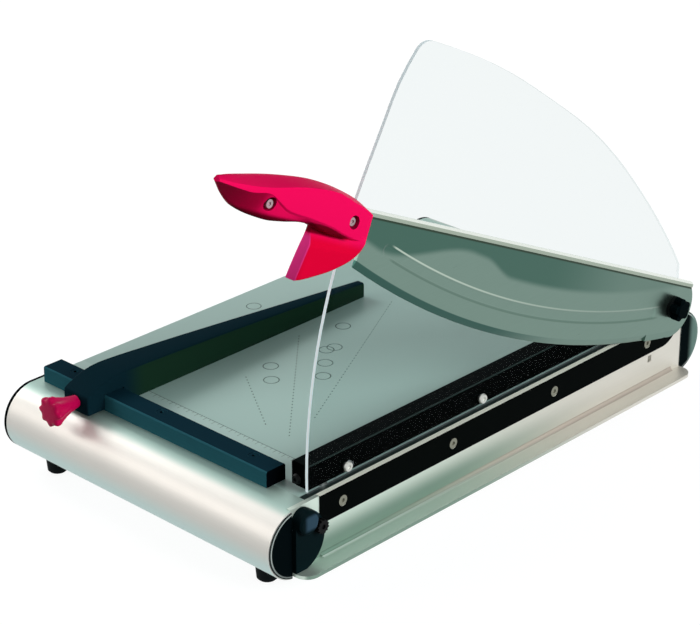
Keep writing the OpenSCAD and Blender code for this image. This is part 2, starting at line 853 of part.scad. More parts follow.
module star_nut() {
    lobes = 5;
    lobe_r = star_r * 0.34;
    color("#0c0e0f") difference() {
        union() {
            across(star_x0, star_x0 + star_t) translate([pivot_y, pivot_z]) {
                circle(r = star_r - lobe_r);
                for (i = [0:lobes - 1]) {
                    rotate(90 + i * 360 / lobes) translate([star_r - lobe_r, 0]) circle(r = lobe_r);
                }
            }
            translate([star_x0 + star_t, pivot_y, pivot_z]) rotate([0, 90, 0])
                cylinder(r1 = pivot_r + 2, r2 = pivot_r + 1, h = 1.5);
        }
        bar_x(star_x0 - 1, star_x0 + star_t - 1 + screw_fit, pivot_y, pivot_z, pivot_r + screw_fit);
    }
}

// Springs round the guide pins that lift the clamp bar, as their outer sleeves
module lift_springs() {
    color("#a7acab") for (y = pins_y) {
        difference() {
            bar_z(table_z, spring_z1, pin_x, y, spring_r);
            bar_z(table_z - 1, spring_z1 + 1, pin_x, y, pin_r + 2 * slide_gap);
        }
    }
}

module clamp_bar() {
    c = 1;
    color("#0a0c0d") difference() {
        along(clamp_y0, clamp_y1) polygon([
            [clamp_x0, clamp_z0], [clamp_x1, clamp_z0], [clamp_x1, clamp_z1 - c],
            [clamp_x1 - c, clamp_z1], [clamp_x0 + c, clamp_z1], [clamp_x0, clamp_z1 - c]
        ]);
        for (y = pins_y) {
            bar_z(clamp_z0 - 1, pin_z1 + clamp_lift + 1, pin_x, y, pin_r + run_fit);
            bar_z(clamp_z0 - 1, spring_z1, pin_x, y, spring_r + slide_gap);
        }
        for (y = guard_screws_y) {
            bar_x(clamp_x1 - 7, clamp_x1 + 1, y, guard_screw_z, screw_r + screw_fit);
        }
        bar_y(
            clamp_y0 - 1, clamp_y0 + 8, clamp_x0 + head_r + 1, clamp_z0 + head_r + 1,
            screw_r + screw_fit
        );
    }
}

module clamp_pad() {
    inset = 2;
    color("#1c1f20") difference() {
        translate([clamp_x0 + inset, clamp_y0 + inset, pad_z0])
            cube([clamp_w - 2 * inset, clamp_y1 - clamp_y0 - 2 * inset, pad_t]);
        for (y = pins_y) {
            bar_z(pad_z0 - 1, clamp_z0 + 1, pin_x, y, spring_r + slide_gap);
        }
    }
}

// Button-head screw in the front end of the clamp bar
module clamp_end_screw() {
    x = clamp_x0 + head_r + 1;
    z = clamp_z0 + head_r + 1;
    color("#5a6062") {
        bar_y(clamp_y0, clamp_y0 + 7, x, z, screw_r);
        difference() {
            translate([x, clamp_y0, z]) rotate([90, 0, 0])
                cylinder(r1 = head_r, r2 = head_r - 1.2, h = head_h);
            translate([x, clamp_y0 - head_h + 1.2, z]) rotate([90, 0, 0]) hex_socket(1.8, 1.2);
        }
    }
}

// Clear guard: front edge an arc round the pivot, back edge bowed, top corner rounded
module guard_outline() {
    pivot = [pivot_y, pivot_z];
    top = pivot + guard_r * [-cos(guard_top), sin(guard_top)];
    heel = [pivot_y + guard_rear, pivot_z + guard_rear_h];
    back = bow_centre(top, heel, guard_back_r);
    corner = meet(pivot, guard_r - guard_corner, back, guard_back_r - guard_corner);
    low = 180 - asin((guard_z0 - pivot_z) / guard_r);
    front_end = angle_of(corner - pivot);
    back_start = angle_of(corner - back);
    polygon(concat(
        arc(pivot, guard_r, low, front_end, 24),
        arc(corner, guard_corner, front_end, back_start, 10),
        arc(back, guard_back_r, back_start, angle_of(heel - back), 24),
        [[pivot_y + guard_rear, guard_z0]]
    ));
}

module guard() {
    slot = bush_r + 2;
    color("#d7e6ea", 0.35) difference() {
        across(guard_x0, guard_x1) difference() {
            guard_outline();
            translate([pivot_y, pivot_z + clamp_lift]) circle(r = slot);
            translate([pivot_y - slot, guard_z0 - 1])
                square([2 * slot, pivot_z + clamp_lift - guard_z0 + 1]);
        }
        for (y = guard_screws_y) {
            bar_x(guard_x0 - 1, guard_x1 + 1, y, guard_screw_z, screw_r + screw_fit);
        }
    }
}

module guard_screws() {
    color("#dfe2de") for (y = guard_screws_y) {
        bar_x(clamp_x1 - 6, guard_x1, y, guard_screw_z, screw_r);
        difference() {
            translate([guard_x1, y, guard_screw_z]) rotate([0, 90, 0])
                cylinder(r1 = head_r, r2 = head_r - 0.8, h = head_h - 0.4);
            translate([guard_x1 + 1, y, guard_screw_z]) rotate([0, 90, 0]) hex_socket(1.8, 1.2);
        }
    }
}

// Blade plate with a curved edge, a heel round the pivot and a tang inside the handle
module tang_outline(g) {
    polygon([
        [-blade_len + 8, spine_n + g], [-blade_len - tang_len - g, spine_n + g],
        [-blade_len - tang_len - g, tang_low - g], [-blade_len - 52, tang_low - g],
        [-blade_len - 32, 3 - g], [-blade_len - 17, -2 - g], [-blade_len - g, -8 - g],
        [-blade_len + 8, -8 - g]
    ]);
}

module blade_outline() {
    intersection() {
        union() {
            circle(r = heel_r);
            translate([-blade_len, -2 * belly_n]) square([blade_len, 4 * belly_n]);
        }
        translate([-blade_len, -2 * belly_n]) square([blade_len + 2 * heel_r, 2 * belly_n + spine_n]);
        union() {
            translate([-belly_s, edge_n]) circle(r = edge_r, $fn = 512);
            circle(r = heel_r);
        }
    }
    tang_outline(0);
}

// Ring sector along the edge, between two distances from it
module groove_ring(near, far) {
    difference() {
        translate([-belly_s, edge_n, blade_x1 - groove_d]) cylinder(r = edge_r - near, h = 1 + groove_d);
        translate([-belly_s, edge_n, blade_x1 - groove_d - 1])
            cylinder(r = edge_r - far, h = 3 + groove_d);
        translate([-blade_len + groove_front, -edge_r, 0]) mirror([1, 0, 0])
            cube([edge_r, 4 * edge_r, 2 * cut_x]);
        translate([-groove_rear, -edge_r, 0]) cube([edge_r, 4 * edge_r, 2 * cut_x]);
    }
}

// Point on the middle line of the groove at distance s from the pivot
function groove_n(s) = edge_n - sqrt(pow(edge_r - groove_in - groove_w / 2, 2) - pow(s - belly_s, 2));

module blade() {
    land = 0.4;
    far = edge_r + 100;
    color("#8fa39b") on_blade() difference() {
        translate([0, 0, blade_x0]) linear_extrude(blade_t) blade_outline();
        intersection() {
            difference() {
                translate([-belly_s, edge_n, blade_x0 + land]) cylinder(r = far, h = blade_t);
                translate([-belly_s, edge_n, blade_x0 + land - EPS])
                    cylinder(r1 = edge_r, r2 = edge_r - bevel_w, h = blade_t - land + 2 * EPS);
            }
            translate([-blade_len - 1, -2 * belly_n, 0])
                cube([blade_len - heel_r + 1, 2 * belly_n - 5, 2 * cut_x]);
        }
        groove_ring(groove_in, groove_in + groove_w);
        for (s = [groove_rear, blade_len - groove_front]) {
            translate([-s, groove_n(s), blade_x1 - groove_d]) cylinder(r = groove_w / 2, h = 2);
        }
        translate([0, 0, blade_x0 - 1]) cylinder(r = bush_r, h = blade_t + 2);
        for (s = handle_screws_s) {
            translate([-s, handle_screw_n, blade_x0 - 1])
                cylinder(r = screw_r + screw_fit, h = blade_t + 2);
        }
    }
}

// Rail that stiffens the spine, with a bevelled outer edge
module blade_spine() {
    c = 2;
    color("#dfe6df") on_blade() translate([heel_r * 0.6, spine_n, blade_x0]) rotate([0, -90, 0])
        linear_extrude(blade_len + heel_r * 0.6 + spine_reach) polygon([
            [0, 0], [rail_t, 0], [rail_t, rail_h - c], [rail_t - c, rail_h], [0, rail_h]
        ]);
}

module blade_bush() {
    color("#b08d4f") {
        pivot_ring(blade_x0, blade_x1 + EPS, bush_r, pivot_r + run_fit);
        pivot_ring(blade_x1, blade_x1 + collar_t, bush_r + 2, pivot_r + run_fit);
    }
}

// Convex slab over a set of discs, with its edges rounded in three steps. A disc with a fourth number
// ends that share of the set-back short of x1.
module rounded_slab(discs, x0, x1, edge, back = 0) {
    hull() for (d = discs, a = [0, 45, 90]) {
        inset = edge * (1 - sin(a));
        rise = edge * (1 - cos(a));
        top = len(d) > 3 ? x1 - back * d[3] : x1;
        translate([-blade_len - d[0], d[1], x0 + rise])
            cylinder(r = d[2] - inset, h = top - x0 - 2 * rise, $fn = 32);
    }
}

module handle_form() {
    x0 = cut_x - handle_in;
    x1 = cut_x + handle_out;
    rounded_slab(grip_discs, x0, x1, handle_round);
    rounded_slab(body_discs, x0, x1, handle_round);
}

module handle_pocket() {
    translate([0, 0, blade_x0 - seat_gap]) linear_extrude(blade_t + 2 * seat_gap) tang_outline(seat_gap);
    translate([0, 0, blade_x0 - seat_gap]) linear_extrude(rail_t + 2 * seat_gap)
        translate([-blade_len - spine_reach - seat_gap, spine_n]) square([20, rail_h + 20]);
    for (s = handle_screws_s) {
        translate([-s, handle_screw_n, 0]) {
            cylinder(r = screw_r + screw_fit, h = 2 * cut_x);
            translate([0, 0, cut_x + handle_out - handle_recess - head_h])
                cylinder(r = head_r + 0.6, h = 40);
        }
    }
}

module handle_outer() {
    split = blade_x0 + blade_t / 2;
    color("#e1003c") on_blade() difference() {
        union() {
            intersection() {
                handle_form();
                translate([-2 * blade_len, -100, split]) cube([2 * blade_len, 200, 60]);
            }
            rounded_slab(lobe_discs, cut_x + lobe_in, cut_x + handle_out, lobe_round, lobe_back);
        }
        handle_pocket();
    }
}

module handle_inner() {
    split = blade_x0 + blade_t / 2;
    color("#e1003c") on_blade() difference() {
        intersection() {
            handle_form();
            translate([-2 * blade_len, -100, split - 60]) cube([2 * blade_len, 200, 60]);
        }
        handle_pocket();
    }
}

module handle_screws() {
    seat = cut_x + handle_out - handle_recess - head_h;
    color("#d9dbd6") on_blade() for (s = handle_screws_s) {
        translate([-s, handle_screw_n, 0]) {
            translate([0, 0, cut_x - handle_in + 0.6])
                cylinder(r = screw_r, h = seat - cut_x + handle_in - 0.6);
            difference() {
                translate([0, 0, seat]) cylinder(r = head_r, h = head_h);
                translate([0, 0, seat + head_h - 1.2]) hex_socket(1.8, 1.2);
            }
        }
    }
}

// Tapered gauge with a hook that rides over the stop rail
module gauge_arm() {
    z0 = table_z + slide_gap;
    y0 = rail_y1 - 6;
    y1 = rail_y1 + gauge_len;
    zt0 = table_z + gauge_h;
    zt1 = table_z + gauge_tip_h;
    bevel = 6;
    color("#0e1a20") difference() {
        union() {
            polyhedron(
                points = [
                    [gauge_x0, y0, z0], [gauge_x1, y0, z0],
                    [gauge_x1, y1, z0], [gauge_x1 - gauge_tip_w, y1, z0],
                    [gauge_x0, y0, zt0], [gauge_x1, y0, zt0],
                    [gauge_x1, y1, zt1], [gauge_x1 - gauge_tip_w, y1, zt1]
                ],
                faces = [
                    [0, 1, 2, 3], [7, 6, 5, 4], [0, 4, 5, 1], [1, 5, 6, 2], [2, 6, 7, 3], [3, 7, 4, 0]
                ]
            );
            intersection() {
                across(gauge_x0, gauge_x1) polygon([
                    [hook_y0, table_z + 1.5], [y0 + 1, table_z + 1.5], [y0 + 1, zt0],
                    [rail_y0, zt0], [hook_y0, table_z + hook_h]
                ]);
                translate([0, 0, table_z]) linear_extrude(2 * gauge_h) polygon([
                    [gauge_x0, y0 + 2], [gauge_x0, rail_y0 - 4], [gauge_x0 + bevel, hook_y0],
                    [gauge_x1, hook_y0], [gauge_x1, y0 + 2]
                ]);
            }
        }
        translate([gauge_x0 - 1, rail_y0 - slide_gap, table_z - 1])
            cube([gauge_w + 2, stop_w + 2 * slide_gap, stop_h + 1 + slide_gap]);
        bar_y(hook_y0 - 1, rail_y0 + 1, stud_x, stud_z, stud_r + run_fit);
    }
}

module clamp_stud() {
    color("#9aa19e") bar_y(knob_y1 + 5, rail_y0 - slide_gap, stud_x, stud_z, stud_r);
}

// Lobed head on a cone, turned about the stud
module clamp_knob() {
    lobe_r = knob_r * 0.28;
    color("#cf0a3f") difference() {
        union() {
            translate([stud_x, knob_y1 + knob_head, stud_z]) rotate([90, 0, 0])
                linear_extrude(knob_head) {
                    circle(r = knob_r - lobe_r);
                    for (i = [0:knob_lobes - 1]) {
                        rotate(i * 360 / knob_lobes) translate([knob_r - lobe_r, 0]) circle(r = lobe_r);
                    }
                }
            translate([stud_x, knob_y1 + knob_head - EPS, stud_z]) rotate([-90, 0, 0])
                cylinder(r1 = knob_r - 0.9 * lobe_r, r2 = stud_r + 2, h = knob_cone);
        }
        bar_y(knob_y1 + 5 - screw_fit, knob_y0 + 1, stud_x, stud_z, stud_r + screw_fit);
    }
}

front_profile();
rear_profile();
left_cap(-1);  // cap_front_left
left_cap(1);  // cap_rear_left
right_cap(-1, wall_front, cut_x, cut_x + cap_proud);  // cap_front_right
right_cap(1, wall_rear, rear_nose_x1, rear_cap_x1);  // cap_rear_right
table_plate();
side_wall();
wall_screws();
knife_beam();
left_beam();
cross_ribs();
lower_knife();
knife_screws();
stop_rail();
stop_rail_screws();
lever_stop();
lever_stop_screw();
foot(-foot_x, -1);  // foot_front_left
foot(foot_x, -1);  // foot_front_right
foot(-foot_x, 1);  // foot_rear_left
foot(foot_x, 1);  // foot_rear_right
foot_screws();
guide_pins();
pivot_block();
pivot_block_screws();
pivot_bolt();
pivot_spacer();
spring_washer();
star_nut();
lift_springs();
clamp_bar();
clamp_pad();
clamp_end_screw();
guard();
guard_screws();
blade();
blade_spine();
blade_bush();
handle_outer();
handle_inner();
handle_screws();
gauge_arm();
clamp_stud();
clamp_knob();
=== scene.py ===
# %% [markdown]
# # A lever paper cutter
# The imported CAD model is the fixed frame: every piece made here sits where the CAD says, in metres.
# Sizes below are written in millimetres and multiplied by MM, because that is how the cutter is drawn.

# %% Load the frame
import json
import math

import bmesh
import bpy
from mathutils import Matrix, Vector


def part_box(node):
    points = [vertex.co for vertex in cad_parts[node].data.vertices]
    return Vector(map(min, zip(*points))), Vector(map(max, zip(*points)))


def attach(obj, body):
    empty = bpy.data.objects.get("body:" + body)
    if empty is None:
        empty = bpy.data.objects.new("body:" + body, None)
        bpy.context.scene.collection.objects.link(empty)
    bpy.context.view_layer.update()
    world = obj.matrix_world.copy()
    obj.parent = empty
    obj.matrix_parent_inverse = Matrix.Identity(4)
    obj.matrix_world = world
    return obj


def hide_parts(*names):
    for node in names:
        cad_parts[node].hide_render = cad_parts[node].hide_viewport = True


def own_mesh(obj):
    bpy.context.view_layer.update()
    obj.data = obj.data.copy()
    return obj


MM = 0.001
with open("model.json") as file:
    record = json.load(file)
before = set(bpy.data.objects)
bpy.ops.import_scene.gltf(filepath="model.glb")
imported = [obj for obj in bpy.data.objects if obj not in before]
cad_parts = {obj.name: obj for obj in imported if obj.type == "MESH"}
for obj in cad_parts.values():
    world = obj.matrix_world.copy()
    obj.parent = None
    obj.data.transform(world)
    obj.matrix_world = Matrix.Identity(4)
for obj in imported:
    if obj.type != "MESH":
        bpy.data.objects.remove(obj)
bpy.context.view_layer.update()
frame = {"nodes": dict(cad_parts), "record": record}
nodes = frame["nodes"]

# %% [markdown]
# The driving places come from the CAD boxes: the cutting plane, the table top, and the pivot, which is
# the middle of the blade's bush. At rest the blade is raised by 25 degrees, so a place on it is given
# along and square to the blade.

# %% Driving places
knife_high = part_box("lower_knife")[1]
CUT_X, TABLE_Z = knife_high[0], knife_high[2]
bush_low, bush_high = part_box("blade_bush")
PIVOT_Y = (bush_low[1] + bush_high[1]) / 2
PIVOT_Z = (bush_low[2] + bush_high[2]) / 2
PIVOT = (CUT_X, PIVOT_Y, PIVOT_Z)
BLADE_RISE = math.radians(25.0)
UP, OUTWARD, INWARD, BACKWARD = (0, 0, 1), (1, 0, 0), (-1, 0, 0), (0, 1, 0)
BLADE_FORWARD = (0, -math.cos(BLADE_RISE), math.sin(BLADE_RISE))
BLADE_UP = (0, math.sin(BLADE_RISE), math.cos(BLADE_RISE))


def on_blade(out, forward, up):
    """A point, in mm, out of the cutting plane and, from the pivot, along and square to the blade."""
    y = PIVOT_Y + MM * (up * math.sin(BLADE_RISE) - forward * math.cos(BLADE_RISE))
    z = PIVOT_Z + MM * (forward * math.sin(BLADE_RISE) + up * math.cos(BLADE_RISE))
    return (CUT_X + out * MM, y, z)


print("table top", round(TABLE_Z, 4), "pivot", [round(v, 4) for v in PIVOT])

# %% [markdown]
# ## Camera
# The viewing angle comes from the vanishing points of the base's long edges: the camera looks down
# by 25 degrees and turns 43.67 degrees to the left. A long lens keeps those edges nearly parallel.

# %% Camera
CAMERA_AT = (1.2673, -1.3462, 0.9662)
CAMERA_DOWN, CAMERA_TURN = 25.0, 43.67
LENS, SENSOR = 123.0, 36.0

camera_data = bpy.data.cameras.new("camera")
camera_data.lens = LENS
camera_data.sensor_width = SENSOR
camera = bpy.data.objects.new("camera", camera_data)
camera.location = CAMERA_AT
camera.rotation_euler = (math.radians(90.0 - CAMERA_DOWN), 0.0, math.radians(CAMERA_TURN))
bpy.context.scene.collection.objects.link(camera)
bpy.context.scene.camera = camera
bpy.context.scene.view_settings.view_transform = "Standard"
print("camera at", CAMERA_AT)


# %% [markdown]
# ## Small tools for materials
# A colour picked from a screen is sRGB, while the renderer works in linear light, so one function
# turns the hex value into linear numbers. A second one adds a node with its settings and links.

# %% Colour and node helpers
def linear(hex_colour):
    """The linear colour of an sRGB hex value, with full alpha."""
    channels = [int(hex_colour[i:i + 2], 16) / 255.0 for i in (1, 3, 5)]
    return tuple(c / 12.92 if c <= 0.04045 else ((c + 0.055) / 1.055) ** 2.4 for c in channels) + (1.0,)


def add(tree, kind, links=None, **settings):
    """Adds a node; settings are its properties or inputs, links maps an input to an output socket."""
    node = tree.nodes.new(kind)
    for name, value in settings.items():
        if hasattr(node, name):
            setattr(node, name, value)
        else:
            node.inputs[name.replace("_", " ")].default_value = value
    for name, output in (links or {}).items():
        tree.links.new(output, node.inputs[name])
    return node


def new_material(name, **shader):
    """A material with its node tree and its main shader, whose inputs are set by name."""
    material = bpy.data.materials.new(name)
    material.use_nodes = True
    bsdf = material.node_tree.nodes["Principled BSDF"]
    for key, value in shader.items():
        bsdf.inputs[key.replace("_", " ")].default_value = value
    return material, material.node_tree, bsdf


# %% [markdown]
# Most surfaces share one recipe: a grain that is stretched along the direction in which the piece was
# rolled, drawn or ground. It shifts the colour and the roughness a little and raises a faint relief.
# An image could carry such a grain, but noise on Object coordinates needs no file and moves with the
# piece. Real grain is finer than the picture can show, so it is drawn about half a millimetre wide.

# %% The shared surface recipe
LONG_X, LONG_Y, EVEN = (40, 1, 1), (1, 40, 1), (1, 1, 1)
GRAIN_DETAIL, RELIEF_STRENGTH, ROUGH_SPREAD = 3.0, 0.5, 0.15


def surface(name, light, dark, grain_mm, stretch=EVEN, relief_mm=0.01, **shader):
    """A material whose grain mixes two colours; stretch lengthens the grain along X, Y or Z."""
    material, tree, bsdf = new_material(name, **shader)
    place = add(tree, "ShaderNodeTexCoord")
    scale = [1.0 / (MM * grain_mm * s) for s in stretch]
    mapping = add(tree, "ShaderNodeMapping", {"Vector": place.outputs["Object"]}, Scale=scale)
    noise = add(tree, "ShaderNodeTexNoise", {"Vector": mapping.outputs[0]}, Scale=1.0, Detail=GRAIN_DETAIL)
    grain = noise.outputs["Fac"]
    tone = add(tree, "ShaderNodeMix", {"Factor": grain}, data_type="RGBA")
    tone.inputs[6].default_value = linear(dark)
    tone.inputs[7].default_value = linear(light)
    tree.links.new(tone.outputs[2], bsdf.inputs["Base Color"])
    rough = bsdf.inputs["Roughness"].default_value
    matt = add(tree, "ShaderNodeMapRange", {"Value": grain},
               To_Min=rough * (1 - ROUGH_SPREAD), To_Max=rough * (1 + ROUGH_SPREAD))
    tree.links.new(matt.outputs[0], bsdf.inputs["Roughness"])
    bump = add(tree, "ShaderNodeBump", {"Height": grain}, Strength=RELIEF_STRENGTH, Distance=relief_mm * MM)
    tree.links.new(bump.outputs[0], bsdf.inputs["Normal"])
    return material


# %% [markdown]
# Some surfaces have zones. They could be painted, or cut into the mesh as faces of their own, but here
# the material works them out from the place and the direction of the surface, which keeps their borders
# exact. A place is a distance from a point along a direction. A direction is compared with another
# by its cosine: 1 where the surface faces that way, 0 where it is square to it. Each zone is a factor
# from 0 to 1, and tint mixes a colour in by that factor.

# %% Tools for zones
def tint(material, factor, colour):
    """Mixes a colour into a surface by a factor socket of the same tree."""
    tree = material.node_tree
    base = tree.nodes["Principled BSDF"].inputs["Base Color"]
    mix = add(tree, "ShaderNodeMix", {"Factor": factor, 6: base.links[0].from_socket}, data_type="RGBA")
    mix.inputs[7].default_value = linear(colour)
    tree.links.new(mix.outputs[2], base)


def combine(tree, operation, *values):
    """Multiplies, adds or compares any number of sockets or plain numbers, from left to right."""
    result = values[0]
    for value in values[1:]:
        node = add(tree, "ShaderNodeMath", operation=operation)
        for k, part in enumerate((result, value)):
            if isinstance(part, (int, float)):
                node.inputs[k].default_value = part
            else:
                tree.links.new(part, node.inputs[k])
        result = node.outputs[0]
    return result


def overlap(tree, *zones):
    """What several zones share; a plain number weakens the result."""
    return combine(tree, "MULTIPLY", *zones)


def length_of(tree, *legs):
    """The length of a way whose legs are square to each other."""
    squares = [combine(tree, "MULTIPLY", leg, leg) for leg in legs]
    return combine(tree, "POWER", combine(tree, "ADD", *squares), 0.5)


def along(tree, origin, direction):
    """Distance in metres from an origin along a direction, in the piece's own coordinates."""
    place = add(tree, "ShaderNodeTexCoord")
    dot = add(tree, "ShaderNodeVectorMath", {0: place.outputs["Object"]}, operation="DOT_PRODUCT")
    dot.inputs[1].default_value = direction
    return combine(tree, "SUBTRACT", dot.outputs["Value"], Vector(origin).dot(Vector(direction)))


def toward(tree, direction):
    """The cosine between the piece's own surface direction and a given one."""
    place = add(tree, "ShaderNodeTexCoord")
    dot = add(tree, "ShaderNodeVectorMath", {0: place.outputs["Normal"]}, operation="DOT_PRODUCT")
    dot.inputs[1].default_value = direction
    return dot.outputs["Value"]


def between(tree, value, start, end, low=0.0, high=1.0):
    """Runs smoothly from low to high while a value runs from start to end."""
    span = add(tree, "ShaderNodeMapRange", {"Value": value}, interpolation_type="SMOOTHSTEP",
               From_Min=start, From_Max=end, To_Min=low, To_Max=high)
    return span.outputs[0]


def fade(tree, distance, start_mm, end_mm, low=0.0, high=1.0):
    """Runs smoothly from low to high while a distance runs from start to end in mm."""
    return between(tree, distance, start_mm * MM, end_mm * MM, low, high)


def band(tree, value, start, end, soft):
    """1 while a value lies between start and end, fading to 0 over soft on both sides."""
    rise = between(tree, value, start - soft, start)
    fall = between(tree, value, end, end + soft, 1.0, 0.0)
    return overlap(tree, rise, fall)


def strip(tree, distance, start_mm, end_mm, soft_mm):
    """1 while a distance lies between start and end in mm, fading to 0 on both sides."""
    return band(tree, distance, start_mm * MM, end_mm * MM, soft_mm * MM)


def facing(tree, direction, start=0.8, end=0.82):
    """Runs from 0 to 1 as the surface turns towards a direction, from cosine start to cosine end."""
    return between(tree, toward(tree, direction), start, end)


# %% [markdown]
# ## Materials
# Extruded and drawn pieces carry long fine lines, the knife and the blade are ground, the plastics have
# a fine moulded grain, and the table is smooth enamel. Each slot of the CAD gets one material.

# %% Materials by slot
paints = {
    # Drawn lines under an anodic layer: a soft sheen without mirror images.
    "silver_aluminium": surface("satin anodised aluminium", "#d9d7d1", "#cecdc7", 0.6, LONG_X, 0.004,
                                Metallic=0.6, Roughness=0.48),
    # Bare extrusion as it leaves the die: duller, with broader streaks.
    "frame_aluminium": surface("mill finish aluminium", "#c5cbc8", "#aeb5b2", 0.8, LONG_Y, 0.01,
                               Metallic=0.9, Roughness=0.45),
    # Baked enamel on sheet: a flat colour under a thin gloss that mirrors what stands on it.
    "table_enamel": surface("grey-green table enamel", "#b1cfc8", "#a8c7bf", 0.5, EVEN, 0.004,
                            Roughness=0.3, IOR=1.3),
    # Blackened steel swallows nearly all light on its side.
    "knife_steel": surface("blackened knife steel", "#060a09", "#020404", 0.5, LONG_Y, 0.008,
                           Roughness=0.42, Specular_IOR_Level=0.005),
    # Ground steel: a soft grey-green sheen with fine lines.
    "blade_steel": surface("ground blade steel", "#768e84", "#6e867c", 0.5, LONG_Y, 0.006,
                           Metallic=1.0, Roughness=0.3),
    # Polished rail: bright, with narrow reflections.
    "spine_steel": surface("polished spine steel", "#eef3ec", "#dde5dc", 0.5, LONG_Y, 0.004,
                           Metallic=0.9, Roughness=0.25),
    # Zinc plating: bright and slightly warm, with a fine crystal grain.
    "screw_steel": surface("zinc plated steel", "#d3d5cf", "#b7bab5", 0.4, EVEN, 0.006,
                           Metallic=0.95, Roughness=0.3),
    # Black oxide: nearly black, with a dull glint on its edges.
    "dark_steel": surface("black oxide steel", "#101314", "#08090a", 0.4, EVEN, 0.01,
                          Roughness=0.4, Specular_IOR_Level=0.06),
    # Turned steel: a bright ring of reflections round the axis.
    "pivot_steel": surface("turned steel", "#b9bfbc", "#9aa19e", 0.3, EVEN, 0.006,
                           Metallic=0.95, Roughness=0.3),
    # Turned bronze: warm, a little duller than the steel.
    "bush_bronze": surface("turned bronze", "#b08a52", "#96723c", 0.3, EVEN, 0.006,
                           Metallic=0.95, Roughness=0.35),
    # Black dye in the anodic layer hides the metal: deep black with a silky surface.
    "black_aluminium": surface("black anodised aluminium", "#030505", "#010202", 0.5, LONG_Y, 0.005,
                               Roughness=0.4, Specular_IOR_Level=0.003),
    # A blue-grey dye, lighter where the drawn side catches the light; the top is painted darker further on,
    # as shade.
    "rail_aluminium": surface("dark anodised aluminium", "#2f6773", "#275a65", 0.5, LONG_X, 0.006,
                              Roughness=0.4, Specular_IOR_Level=0.003),
    # Moulded in an eroded tool: black with a fine grain and a faint blue sheen on round edges.
    "black_plastic": surface("grained black plastic", "#050e11", "#030a0c", 0.35, EVEN, 0.02,
                             Roughness=0.4, IOR=1.03),
    # Smooth moulding, dyed right through: full red with soft shading.
    "red_plastic": surface("moulded red plastic", "#ff1064", "#f80a58", 0.5, EVEN, 0.006,
                           Roughness=0.32, IOR=1.04),
    # Rubber: black, dry and rough.
    "black_rubber": surface("matt black rubber", "#171d1f", "#101516", 0.5, EVEN, 0.03,
                            Roughness=0.7, IOR=1.15),
}
print("materials", len(paints))

# %% [markdown]
# A few pieces differ from the others of their slot. The knife's screws are a duller grey than the other
# zinc, the handle's screws carry a painted pink reflection of the red recess that they sit in, and the knob
# is glossier and darker than the handle.

# %% Materials of single pieces
# Duller zinc: grey, with a soft sheen.
dull_zinc = surface("dull zinc plated steel", "#8f9082", "#717267", 0.4, EVEN, 0.01,
                    Metallic=0.9, Roughness=0.45)
# Zinc with a painted reflection of the red plastic: a pinkish grey.
recess_zinc = surface("zinc plated steel in a red recess", "#b59fa4", "#9c868c", 0.4, EVEN, 0.006,
                      Metallic=0.95, Roughness=0.35)
# Polished moulding: a deep pink red with small clear lights.
knob_red = surface("moulded knob plastic", "#d20a58", "#c6064e", 0.5, EVEN, 0.006, Roughness=0.28, IOR=1.16)
print("single finishes", [paint.name for paint in (dull_zinc, recess_zinc, knob_red)])

# %% [markdown]
# The lower knife is blackened except for its ground top. The stop rail and the clamp bar are drawn and
# dyed. Their tops are painted in shade and light: the rail's top darker and the bar's a touch lighter than
# their sides. The rail's end is nearly black, the bar's rounded outer edge carries a painted highlight, and
# the spine's outer side is painted darker than its top, as shade. All of these follow the direction of the
# surface, so no edge has to be marked for them.

# %% Zones on knife, rail, bar and spine
# The knife's top is its own ground steel; the rail's darker top and the bar's lighter top are painted shade
# and light.
tops = {"knife_steel": "#fafff0", "rail_aluminium": "#0e2c38", "black_aluminium": "#050a0a"}
for slot, colour in tops.items():
    tint(paints[slot], facing(paints[slot].node_tree, UP), colour)
# A nearly black rail end, and painted shade on the spine's outer side.
for slot, colour in {"rail_aluminium": "#04070b", "spine_steel": "#9eaa9c"}.items():
    tint(paints[slot], facing(paints[slot].node_tree, OUTWARD), colour)
bar_paint = paints["black_aluminium"]
tree = bar_paint.node_tree
# Painted highlight along the bar's rounded outer edge.
round_edge = band(tree, toward(tree, UP), 0.3, 0.95, 0.04)
tint(bar_paint, overlap(tree, round_edge, facing(tree, OUTWARD, 0.3, 0.35)), "#2a3533")
print("tinted tops", len(tops))

# %% [markdown]
# Both profiles are cut from one extrusion. Their flat tops are painted darker and greener, as shade, and
# the undersides of their noses greener, as a painted reflection, while the front of the nose faces the
# light. The table has a pale ruler strip behind the rail, and a painted shadow along its edge by the
# knife, in the gap under the clamp bar and the guard.

# %% Zones on profiles and table
RULER_NEAR, RULER_FAR = -213.5, -186.0
SHADE_FROM_X = 145.4
BORDER = 0.1
silver = paints["silver_aluminium"]
tree = silver.node_tree
# Painted reflection: faces that turn downwards are greener.
tint(silver, facing(tree, UP, 0.2, -0.5), "#c8e0dd")
# Painted shade on the flat tops.
tint(silver, overlap(tree, facing(tree, UP, 0.88, 0.995), 0.9), "#a0c0b7")
enamel = paints["table_enamel"]
tree = enamel.node_tree
tint(enamel, strip(tree, along(tree, (0, 0, 0), BACKWARD), RULER_NEAR, RULER_FAR, BORDER), "#b6d2cb")
# Painted shadow along the table's edge, in the gap under the clamp bar and the guard.
tint(enamel, fade(tree, along(tree, (SHADE_FROM_X * MM, 0, 0), OUTWARD), 0.0, BORDER), "#22302e")
print("ruler strip", RULER_FAR - RULER_NEAR, "mm wide")

# %% [markdown]
# The half-moon caps on the right are the same black plastic as the others, with painted highlights: a
# paler bevel and a thin bright rim just inside the profile's outline, dimmer lower down. Their rear end is
# greyer, a painted reflection. The buffer of the lever stop has a painted dull blue highlight near its
# top. The rim follows the arc of the nose, so it is measured as a distance from the arc's axis.

# %% Zones on caps and buffer
profile_low, profile_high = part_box("front_profile")
NOSE_R = (profile_high[2] - profile_low[2]) / 2
RIM_IN, RIM_WIDE, RIM_SOFT = 2.9 * MM, 0.8 * MM, 0.4 * MM
